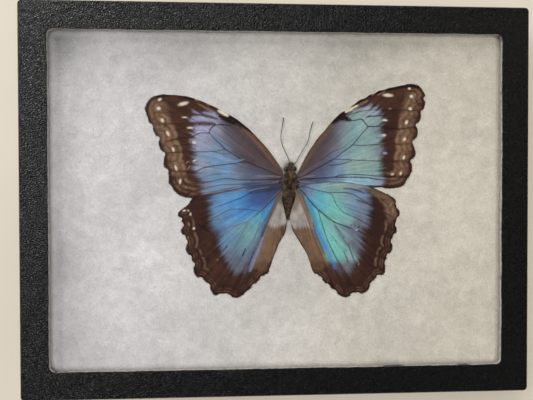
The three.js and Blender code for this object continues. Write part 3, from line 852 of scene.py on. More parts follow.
# Places along the abdomen, from the waist to the tip, and the half width at each.
ABDOMEN_WIDTHS = [(4.7, 2.3), (3.6, 3), (2, 2.85), (0, 2.45), (-2, 1.95), (-4, 1.45), (-5.6, 1),
                  (-6.8, 0.6), (-7.5, 0.25)]
ABDOMEN_RINGS = 8
ABDOMEN_FRONT = 4.7
ABDOMEN_TIP = -7.5
ABDOMEN_LENGTH = 12.2


def abdomen_girth(y):
    """The abdomen's half width at places along it."""
    return np.interp(-y, [-w[0] for w in ABDOMEN_WIDTHS], [w[1] for w in ABDOMEN_WIDTHS])


def abdomen_middle(y):
    return 4.25 - 0.075 * (ABDOMEN_FRONT - y)


stations = []
for y in np.linspace(ABDOMEN_FRONT, ABDOMEN_TIP, 60):
    ring_phase = ((ABDOMEN_FRONT - y) / ABDOMEN_LENGTH * ABDOMEN_RINGS) % 1
    width = abdomen_girth(y) * (1 - 0.07 * math.exp(-((ring_phase - 0.5) / 0.16) ** 2))
    stations.append((abdomen_middle(y), y, 12.75 + 0.06 * (ABDOMEN_FRONT - y), width, 0.75 * width))
abdomen = make_piece("abdomen_body", [(*body_loft(stations), 0)], [body_skin])
grow_hair(abdomen, density=3.2e7, length=0.8, thickness=0.03, lean=(0.0, -1.0, 0.1), upright=0.3,
    spread=0.3, seed=9, hair=abdomen_hair)
x, y, _ = spots(abdomen)
# Painted shade: the abdomen darker down its flanks towards the tip, not near the waist.
flank_painted_shade = smooth_step(np.abs(x - abdomen_middle(y)) / abdomen_girth(y), 0.35, 0.95)
flank_painted_shade *= 1 - smooth_step(y, -1, 3)
bands = 0.08 * np.cos(2 * np.pi * (ABDOMEN_FRONT - y) / ABDOMEN_LENGTH * ABDOMEN_RINGS)
abdomen_shade = 0.5 * flank_painted_shade + bands + 0.22 * value_noise(x / 0.8, y, 53)
abdomen_shade += 0.25 * (1 - smooth_step(y, -7.4, -5)) - 0.06
set_attribute(abdomen.data, "shade", abdomen_shade)
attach(abdomen, "root")
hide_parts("abdomen")

eye_gloss, tree, surface, place = new_material("eye_gloss", Roughness=0.18, Coat_Weight=0.6,
    Coat_Roughness=0.08)
feed(surface, "Base Color", mottle(tree, place, 1500, paint((20, 14, 12)), paint((58, 42, 34))))
facets = add_node(tree, "TexVoronoi", {"Vector": place, "Scale": 9000})
add_bump(tree, surface, facets, 0.02 * MM)
head_hair = hair_material("head_hair", (44, 35, 29), (172, 148, 124))
head_parts = [(*egg((4.7, 13.2, 13.15), (1.7, 1.35, 1.6)), 0)]
for centre in ((4.6, 14.75, 13.6), (5.6, 14.75, 13.6)):
    head_parts.append((*egg(centre, (0.34, 0.95, 0.45)), 0))
head = make_piece("head_and_palps", head_parts, [body_skin])
grow_hair(head, density=3.2e7, length=0.85, thickness=0.03, lean=(0.0, 0.5, 0.1), upright=0.8,
    spread=0.45, seed=14, hair=head_hair)
eye_parts = [(*egg(centre, (1.05, 1, 1.2), 18, 26), 0)
             for centre in ((2.95, 12.9, 13.55), (6.45, 13.2, 13.55))]
eyes = make_piece("eyes", eye_parts, [eye_gloss])
x, y, _ = spots(head)
set_attribute(head.data, "shade", 0.3 * value_noise(x / 0.7, y / 0.7, 55))
for piece, node in ((head, "head"), (eyes, None)):
    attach(piece, "root")
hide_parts("head")


# ---- The antennae -----------------------------------------
# Two fine dark threads of many short joints, each a little thicker towards its blunt tip, curving
# forward from the top of the head.

ANTENNA_HEIGHT = 14.85

antenna_shell = skin_material("antenna_shell", (38, 34, 33), (72, 66, 62), 0.5)

# A tree that swells a line into a thread of joints, with a club at its tip.
tree, given = new_geometry_tree("jointed_thread", {"Geometry": "Geometry", "Radius": "Float",
    "Club": "Float", "Joints": "Float", "Steps": "Int", "Shell": "Material"})
line = add_node(tree, "GeometryNodeMeshToCurve", {"Mesh": given["Geometry"]})
fine = add_node(tree, "GeometryNodeResampleCurve", {"Curve": line, "Count": given["Steps"]})
along = add_node(tree, "GeometryNodeSplineParameter")
phase = reckon(tree, "MULTIPLY", along.outputs["Factor"], given["Joints"])
swell = reckon(tree, "SINE", phase)
knots = reckon(tree, "MULTIPLY_ADD", swell, 0.1, 0.95)
club = ranged(tree, along.outputs["Factor"], 0.72, 0.97, 1, given["Club"])
width = reckon(tree, "MULTIPLY", knots, club)
section = add_node(tree, "GeometryNodeCurvePrimitiveCircle", {"Resolution": 8, "Radius": given["Radius"]})
tube = add_node(tree, "GeometryNodeCurveToMesh", {"Curve": fine, "Profile Curve": section, "Scale": width,
    "Fill Caps": True})
real = add_node(tree, "GeometryNodeRealizeInstances", {"Geometry": tube})
finished = add_node(tree, "GeometryNodeSetMaterial", {"Geometry": real, "Material": given["Shell"]})
finish_tree(tree, finished)
antenna_tree = tree


def curve_points(route, step):
    """A smooth route through given points, as an array of points a step apart."""
    route = pairs(route)
    ends = np.vstack([2 * route[0] - route[1], route, 2 * route[-1] - route[-2]])
    smooth = []
    for a, b, c, d in zip(ends, ends[1:], ends[2:], ends[3:]):
        count = max(2, int(np.linalg.norm(c - b) / step))
        for t in np.linspace(0, 1, count, endpoint=False):
            smooth.append(0.5 * (2 * b + (c - a) * t + (2 * a - 5 * b + 4 * c - d) * t ** 2
                                 + (3 * b - a - 3 * c + d) * t ** 3))
    return np.vstack([smooth, route[-1]])


def line_object(name, routes):
    """Bare lines in space, for a tree to clad; each route is an array of points in millimetres."""
    points, edges = [], []
    for route in routes:
        start = len(points)
        points.extend(map(tuple, np.asarray(route) * MM))
        edges.extend((start + k, start + k + 1) for k in range(len(route) - 1))
    mesh = bpy.data.meshes.new(name)
    mesh.from_pydata(points, edges, [])
    return bpy.data.objects.new(name, mesh)


for node, route in (("left_antenna", LEFT_ANTENNA), ("right_antenna", RIGHT_ANTENNA)):
    flat = curve_points(route, 0.5)
    rise = ANTENNA_HEIGHT - 0.5 * np.exp(-np.arange(len(flat)) / 4)
    base = line_object(node + "_line", [np.column_stack([flat, rise])])
    bpy.context.scene.collection.objects.link(base)
    mesh = grown_mesh(node + "_thread", base, antenna_tree, {"Radius": 0.125 * MM, "Club": 1.45,
        "Joints": 300.0, "Steps": 150, "Shell": antenna_shell})
    bpy.data.objects.remove(base)
    antenna = shown(node + "_thread", mesh)
    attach(antenna, "root")
    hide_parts(node)


# ---- The wings: how all four are made ---------------------
# Each wing is a papery membrane stiffened by raised veins and clad in tiny scales. Brown scales
# colour the borders, ridged ones scatter blue over the middle, and a fringe edges the scallops.

WING_STEP = 0.3
WING_THICKNESS = 0.1
WING_RIPPLE = 0.05
GUTTER_DEPTH = 0.07
VEIN_BREADTH = 0.38
VEIN_TAPER = 0.55

# The paints that the markings are set in, and what the numbers of each kind of marking are. A line
# or an outline is given as x and y in turn.
#   washes: tint, x, y, reach                  regions: tint, share, outline, feather
#   rows: tint, distance in from the margin, breadth, arch, share, first and last place along it
#   margin_bands: tint, inner, outer, share    ribs: breadth, tint, share, line
#   strokes: tint, width, share, line          dabs: tint, x, y, length, width, turn
TINTS = {
    "bark": (72, 47, 37), "umber": (56, 35, 30), "soot": (24, 18, 17), "tan": (148, 118, 94),
    "cream": (238, 224, 200), "white": (236, 234, 232), "smoke": (88, 74, 76), "plum": (92, 80, 88),
    "slate": (108, 115, 133), "mist": (136, 142, 164), "lilac": (160, 160, 194), "steel": (110, 134, 160),
    "sky": (108, 146, 186), "dusk": (90, 100, 128), "sea": (124, 156, 158), "glaucous": (136, 162, 156),
    "ice": (142, 184, 200), "aqua": (114, 176, 168), "lagoon": (90, 160, 182), "cornflower": (82, 134, 186),
    "royal": (70, 94, 146), "night": (62, 68, 92), "cobalt": (84, 142, 220), "ash": (108, 112, 124),
    "bone": (168, 158, 154), "fawn": (122, 96, 76), "olive": (104, 88, 66), "rust": (140, 108, 92),
    "navy": (30, 42, 72),
}


def mixed(base, tint_name, share):
    """Paint laid over paint, each point by its own share."""
    share = np.clip(share, 0, 1)[:, None]
    return base * (1 - share) + linear(TINTS[tint_name]) * share


def washed(flat, root, washes, streaks):
    """Washes of colour that run into each other, drawn out along the rays from the wing's root."""
    ray = flat - root
    radius = np.hypot(*ray.T)
    angle = np.arctan2(ray[:, 1], ray[:, 0])
    total = np.zeros((len(flat), 3))
    weight = np.zeros(len(flat))
    for tint_name, x, y, reach in washes:
        centre_radius = math.hypot(x - root[0], y - root[1])
        centre_angle = math.atan2(y - root[1], x - root[0])
        turn = (angle - centre_angle + math.pi) % (2 * math.pi) - math.pi
        sideways = turn * (radius + centre_radius) / 2 + 0.5 * streaks
        away = sideways ** 2 + ((radius - centre_radius) / 1.5) ** 2
        near = np.exp(-away / reach ** 2) + 1e-9
        total += near[:, None] * linear(TINTS[tint_name])
        weight += near
    return total / weight[:, None]


def wing_ring(outline, step):
    """The wing's outline as closely spaced points, with the corners eased."""
    ring = []
    for start, end in zip(outline, np.roll(outline, -1, 0)):
        count = max(1, round(math.hypot(*(end - start)) / step))
        ring.extend(start + (end - start) * k / count for k in range(count))
    ring = np.array(ring)
    return 0.5 * ring + 0.25 * (np.roll(ring, 1, 0) + np.roll(ring, -1, 0))


def wing_points(outline, step):
    """Flat points that fill a wing: its ring first, then a triangular net inside it."""
    ring = wing_ring(outline, step)
    low, high = ring.min(0), ring.max(0)
    rise = step * math.sqrt(3) / 2
    rows = np.arange(low[1], high[1], rise)
    net = []
    for k, y in enumerate(rows):
        net.extend((x, y) for x in np.arange(low[0] + (k % 2) * step / 2, high[0], step))
    net = np.array(net)
    kept = signed_distance(net, ring) > 0.55 * step
    return ring, np.vstack([ring, net[kept]])


def wing_triangles(ring_count, flat):
    """Triangles between a wing's points, all within its ring."""
    edges = [(k, (k + 1) % ring_count) for k in range(ring_count)]
    points = [Vector(p) for p in flat]
    found = geometry.delaunay_2d_cdt(points, edges, [list(range(ring_count))], 1, 1e-5)
    kept = np.array([tuple(p) for p in found[0]])
    return kept, np.array([face for face in found[2] if len(face) == 3])


def undulation(flat, seed):
    """The slow rise and fall of a dried wing, from -1 to 1."""
    x, y = flat[:, 0], flat[:, 1]
    return 0.7 * value_noise(x / 13, y / 13, seed) + 0.3 * value_noise(x / 5, y / 5, seed + 1)


def wing_heights(flat, wing):
    """The upper surface: shallow gutters between the veins, and a droop beside the body."""
    gap = np.min([line_distance(flat, rib[-1])[0] for rib in wing["ribs"]], axis=0)
    gutter = smooth_step(gap, 0, 1.8)
    x, y = flat[:, 0], flat[:, 1]
    beside = 1 - smooth_step(np.abs(x - (4.5 - 0.1 * (4 - y))), 2, 4.6)
    droop = wing["droop"] * beside * smooth_step(y, -11, -5)
    return wing["level"] + WING_RIPPLE * undulation(flat, wing["seed"]) - GUTTER_DEPTH * gutter - droop


def painted(flat, wing):
    """Colour and shine at each point of a wing."""
    root = np.array(wing["root"])
    ray = flat - root
    radius = np.hypot(*ray.T)
    angle = np.arctan2(ray[:, 1], ray[:, 0])
    seed = wing["seed"]
    streaks = 0.6 * value_noise(angle * 46, radius / 22, seed)
    streaks += 0.4 * value_noise(angle * 110, radius / 9, seed + 1)
    patches = value_noise(flat[:, 0] / 2.2, flat[:, 1] / 2.2, seed + 2)
    fine = value_noise(flat[:, 0] / 0.6, flat[:, 1] / 0.6, seed + 3)

    # The brown ground, and the blue field laid over it.
    colour = np.tile(linear(TINTS[wing["border"]]), (len(flat), 1))
    for tint_name, share, region, feather in wing["regions"]:
        depth = signed_distance(flat, region) + feather * 0.7 * streaks
        colour = mixed(colour, tint_name, share * smooth_step(depth, -feather, feather))
    depth = signed_distance(flat, wing["blue_field"]) + 1.5 * streaks + 0.25 * fine
    blue = smooth_step(depth, -wing["feather"], wing["feather"]) ** 1.5
    field = washed(flat, root, wing["washes"], streaks * 1.6)
    field *= 1 + wing["lustre"] * smooth_step(field[:, 1], 0.08, 0.24)[:, None]
    field *= (1 + 0.3 * streaks + 0.1 * patches + 0.06 * fine)[:, None]
    brown = colour * (1 + 0.3 * streaks + 0.16 * patches + 0.1 * fine)[:, None]
    colour = brown * (1 - blue[:, None]) + field * blue[:, None]
    shine = blue.copy()

    # Rows of spots along the margin, one spot between each two veins.
    margin_gap, margin_at = line_distance(flat, wing["margin"])
    _, notch_at = line_distance(pairs(wing["notches"]), wing["margin"])
    notch_at = np.sort(notch_at)
    middles = (notch_at[1:] + notch_at[:-1]) / 2
    lobe_at = np.concatenate([[-0.04], middles, [1.04]])
    to_notch = np.min(np.abs(margin_at[:, None] - notch_at[None, :]), axis=1)
    to_lobe = np.min(np.abs(margin_at[:, None] - lobe_at[None, :]), axis=1)
    bow = to_lobe / (to_lobe + to_notch + 1e-6)
    rib_gap = np.min([line_distance(flat, rib[-1])[0] for rib in wing["ribs"]], axis=0)
    lit = smooth_step(bow, 0.06, 0.55) * (0.35 + 0.65 * smooth_step(rib_gap, 0.1, 1.3))
    for tint_name, distance, breadth, arch, share, first, last in wing["rows"]:
        off = np.abs(margin_gap - distance - arch * (bow - 0.5) + 0.2 * patches + 0.12 * fine)
        broad = breadth * (0.6 + 0.4 * lit)
        row = (1 - smooth_step(off, 0.15 * broad, broad)) * (0.06 + 0.94 * lit)
        row *= smooth_step(margin_at, first - 0.05, first) * (1 - smooth_step(margin_at, last, last + 0.06))
        row *= (0.9 + 0.35 * fine + 0.4 * streaks + 0.25 * patches) * (1 - blue)
        colour = mixed(colour, tint_name, share * row)

    # Bands along the margin, the veins and strokes over them, and single dabs on top.
    for tint_name, inner, outer, share in wing["margin_bands"]:
        wobble = 0.25 * patches
        band = smooth_step(margin_gap + wobble, inner - 0.25, inner + 0.1) * (
            1 - smooth_step(margin_gap + wobble, outer - 0.35, outer + 0.35))
        colour = mixed(colour, tint_name, share * band)
        shine *= 1 - share * band
    inked_ribs = [(rib[1], 0.9 * rib[0] + 0.14, *rib[2:]) for rib in wing["ribs"]]
    for tint_name, width, share, line in inked_ribs + wing["strokes"]:
        gap, at = line_distance(flat, line)
        taper = 1 - 0.35 * np.abs(2 * at - 1) ** 3
        mark = (1 - smooth_step(gap, 0.2 * width * taper, 0.8 * width * taper)) * (1 + 0.25 * fine)
        if tint_name in ("mist", "night"):
            mark *= blue
        colour = mixed(colour, tint_name, share * mark)
        shine *= 1 - 0.8 * share * mark * (tint_name in ("soot", "umber", "bark", "tan", "cream", "olive"))
    for tint_name, x, y, length, width, turn in wing["dabs"]:
        lean = math.radians(turn)
        off = flat - (x, y)
        along = (off[:, 0] * math.cos(lean) + off[:, 1] * math.sin(lean)) / (length / 2)
        across = (off[:, 1] * math.cos(lean) - off[:, 0] * math.sin(lean)) / (width / 2)
        spread = np.sqrt(along ** 2 + across ** 2) + 0.12 * patches + 0.1 * fine
        mark = 1 - smooth_step(spread, 0.4, 1.35)
        colour = mixed(colour, tint_name, 0.9 * mark)
        shine *= 1 - mark
    return np.clip(colour, 0, 1), np.clip(shine, 0, 1)


# Rows of scales, drawn out along the veins: fine ridges, and a soft unevenness of tone.
scale_rows, given, out = new_shader_group("scale_rows",
    {"Rows": "Float", "Depth": "Float"}, {"Tone": "Float", "Height": "Float"})
rows_uv = add_node(scale_rows, "UVMap", uv_map="scale_rows")
drawn_out = add_node(scale_rows, "Mapping", {"Vector": rows_uv, "Scale": (1, 0.16, 1)})
ridge = add_node(scale_rows, "TexNoise", {"Vector": drawn_out, "Scale": given["Rows"], "Detail": 3,
    "Roughness": 0.6})
tiles = add_node(scale_rows, "TexVoronoi", {"Vector": rows_uv, "Scale": given["Rows"], "Randomness": 0.8})
tone = ranged(scale_rows, ridge, 0.25, 0.75, 0.8, 1.2)
total = reckon(scale_rows, "MULTIPLY_ADD", tiles, 0.35, ridge)
height = reckon(scale_rows, "MULTIPLY", total, given["Depth"])
feed(out, "Tone", tone)
feed(out, "Height", height)


def wing_material(name):
    """Scales: matt where they are brown, satin and a little metallic where they are blue."""
    material, tree, surface, _ = new_material(name, Specular_IOR_Level=0.12)
    scales = add_node(tree, "Attribute", attribute_name="scales")
    grain = add_node(tree, "Group", {"Rows": 300, "Depth": 1}, node_tree=scale_rows)
    toned = scaled(tree, scales.outputs["Color"], grain.outputs["Tone"])
    feed(surface, "Base Color", toned)
    metal = ranged(tree, scales.outputs["Alpha"], 0, 1, 0, 0.25)
    feed(surface, "Metallic", metal)
    rough = ranged(tree, scales.outputs["Alpha"], 0, 1, 0.7, 0.46)
    feed(surface, "Roughness", rough)
    add_bump(tree, surface, grain.outputs["Height"], 0.045 * MM)
    return material


forewing_scales = wing_material("forewing_scales")
hindwing_scales = wing_material("hindwing_scales")

vein_skin_colour, tree, surface, place = new_material("wing_vein", Roughness=0.55, Specular_IOR_Level=0.3)
clad = add_node(tree, "Attribute", attribute_name="scales")
worn = mottle(tree, place, 1200, (0.45, 0.42, 0.42, 1), (0.9, 0.88, 0.88, 1))
clad_worn = blend(tree, 1, clad.outputs["Color"], worn, "MULTIPLY")
feed(surface, "Base Color", clad_worn)
fringe_scales, tree, surface, place = new_material("wing_fringe", Roughness=0.8, Specular_IOR_Level=0.2)
pale = add_node(tree, "Attribute", attribute_name="pale")
grey = mottle(tree, place, 1500, paint((44, 32, 27)), paint((82, 62, 52)))
edge_colour = blend(tree, pale.outputs["Fac"], grey, paint((232, 226, 214)))
feed(surface, "Base Color", edge_colour)

# A tree that lays the veins on a wing as tapered tubes, and sets the fringe round its margin.
tree, given = new_geometry_tree("veins_and_fringe", {"Geometry": "Geometry", "Veins": "Object",
    "Margin": "Object", "Vein": "Material", "Fringe": "Material", "Fringe Length": "Float",
    "Fringe Gap": "Float", "Seed": "Int"})
vein_tree = tree
vein_lines = add_node(tree, "GeometryNodeObjectInfo", {"Object": given["Veins"]})
vein_curves = add_node(tree, "GeometryNodeMeshToCurve", {"Mesh": vein_lines.outputs["Geometry"]})
breadth = add_node(tree, "GeometryNodeInputNamedAttribute", {"Name": "breadth"}, data_type="FLOAT")
section = add_node(tree, "GeometryNodeCurvePrimitiveCircle", {"Resolution": 6, "Radius": 1})
vein_tubes = add_node(tree, "GeometryNodeCurveToMesh", {"Curve": vein_curves, "Profile Curve": section,
    "Scale": breadth, "Fill Caps": True})
vein_skin = add_node(tree, "GeometryNodeSetMaterial", {"Geometry": vein_tubes, "Material": given["Vein"]})
margin_line = add_node(tree, "GeometryNodeObjectInfo", {"Object": given["Margin"]})
margin_curve = add_node(tree, "GeometryNodeMeshToCurve", {"Mesh": margin_line.outputs["Geometry"]})
stops = add_node(tree, "GeometryNodeResampleCurve", {"Curve": margin_curve,
    "Length": given["Fringe Gap"]}, mode="LENGTH")
blade = add_node(tree, "GeometryNodeMeshCone", {"Vertices": 4, "Side Segments": 2, "Radius Top": 0.12,
    "Radius Bottom": 0.2, "Depth": 1})
tangent = add_node(tree, "GeometryNodeInputTangent")
outward = add_node(tree, "VectorMath", {0: tangent, 1: (0, 0, 1)}, operation="CROSS_PRODUCT")
stray = add_node(tree, "FunctionNodeRandomValue", {0: (-0.3, -0.3, -0.1), 1: (0.3, 0.3, 0.1),
    "Seed": given["Seed"]}, data_type="FLOAT_VECTOR")
pointing = add_node(tree, "VectorMath", {0: outward, 1: stray})
blade_turn = add_node(tree, "FunctionNodeAlignRotationToVector", {"Vector": pointing}, axis="Z")
blade_size = add_node(tree, "FunctionNodeRandomValue", {2: 0.6, 3: 1.15, "Seed": 7})
blade_length = reckon(tree, "MULTIPLY", blade_size.outputs[1], given["Fringe Length"])
blades = add_node(tree, "GeometryNodeInstanceOnPoints", {"Points": stops,
    "Instance": blade.outputs["Mesh"], "Rotation": blade_turn, "Scale": blade_length})
blade_mesh = add_node(tree, "GeometryNodeRealizeInstances", {"Geometry": blades})
blade_skin = add_node(tree, "GeometryNodeSetMaterial", {"Geometry": blade_mesh,
    "Material": given["Fringe"]})
whole = add_node(tree, "GeometryNodeJoinGeometry")
for part in (blade_skin, vein_skin, given["Geometry"]):
    feed(whole, 0, part)
joined = add_node(tree, "GeometryNodeRealizeInstances", {"Geometry": whole})
finish_tree(tree, joined)


def make_wing(node, outline, wing, material):
    """One wing: its sheet, its paint, its raised veins and its fringe."""
    first, last = wing["margin_ends"]
    wing["margin"] = outline[first:last + 1]
    ring, flat = wing_points(outline, WING_STEP)
    flat, triangles = wing_triangles(len(ring), flat)
    first_corner, second_corner, third_corner = (flat[triangles[:, k]] for k in range(3))
    turning = np.cross(second_corner - first_corner, third_corner - first_corner)
    triangles[turning < 0] = triangles[turning < 0][:, ::-1]
    count = len(flat)
    colour, shine = painted(flat, wing)
    top = wing_heights(flat, wing)
    points = np.vstack([np.column_stack([flat, top]), np.column_stack([flat, top - WING_THICKNESS])])
    directed = np.concatenate([triangles[:, [0, 1]], triangles[:, [1, 2]], triangles[:, [2, 0]]])
    known = set(map(tuple, directed))
    walls = [(b, a, a + count, b + count) for a, b in known if (b, a) not in known]
    faces = [tuple(t) for t in triangles] + [tuple(t + count) for t in triangles[:, ::-1]] + walls
    mesh = bpy.data.meshes.new(node)
    mesh.from_pydata([tuple(p) for p in points * MM], [], [tuple(int(v) for v in f) for f in faces])
    mesh.polygons.foreach_set("use_smooth", [True] * len(mesh.polygons))
    set_attribute(mesh, "scales", np.tile(np.column_stack([colour, shine]), (2, 1)), "FLOAT_COLOR")
    ray = flat - np.array(wing["root"])
    ray_place = np.column_stack([0.6 * np.arctan2(ray[:, 1], ray[:, 0]), np.hypot(*ray.T) / 50])
    rows_uv = np.tile(ray_place, (2, 1))
    corner_points = np.zeros(len(mesh.loops), int)
    mesh.loops.foreach_get("vertex_index", corner_points)
    mesh.uv_layers.new(name="scale_rows").data.foreach_set("uv", rows_uv[corner_points].ravel())
    mesh.materials.append(material)
    sheet = shown(node + "_scaled", mesh)

    vein_routes, breadths = [], []
    for breadth, _, _, line in wing["ribs"]:
        route = curve_points(line, 0.6)
        share = np.linspace(0, 1, len(route))
        vein_routes.append(np.column_stack([route, wing_heights(route, wing) + 0.01]))
        breadths.append(VEIN_BREADTH * breadth * (1 - VEIN_TAPER * share))
    veins = line_object(node + "_vein_lines", vein_routes)
    set_attribute(veins.data, "breadth", np.concatenate(breadths) * MM)
    vein_paint, vein_shine = painted(np.concatenate(vein_routes)[:, :2], wing)
    set_attribute(veins.data, "scales", np.column_stack([vein_paint, vein_shine]), "FLOAT_COLOR")
    margin = curve_points(wing["margin"], 0.4)
    if wing["mirrored"]:
        margin = margin[::-1]
    margin_heights = wing_heights(margin, wing) - WING_THICKNESS / 2
    margin_line = line_object(node + "_margin_line", [np.column_stack([margin, margin_heights])])
    gap = np.min([np.hypot(*(margin - spot).T) for spot in pairs(wing["notches"])], axis=0)
    set_attribute(margin_line.data, "pale", 1 - smooth_step(gap, 0.7, 1.2))
    sheet.data = grown_mesh(node, sheet, vein_tree, {"Veins": veins, "Margin": margin_line,
        "Vein": vein_skin_colour, "Fringe": fringe_scales, "Fringe Length": 0.4 * MM,
        "Fringe Gap": 0.1 * MM, "Seed": wing["seed"]})
    bpy.data.objects.remove(veins)
    bpy.data.objects.remove(margin_line)
    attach(sheet, "root")
    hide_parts(node)


# ---- The left forewing ------------------------------------
# Plum-grey in the cell and steel blue below it, with a broad brown tip that carries two rows of
# cream and tan spots. The leading edge is black.

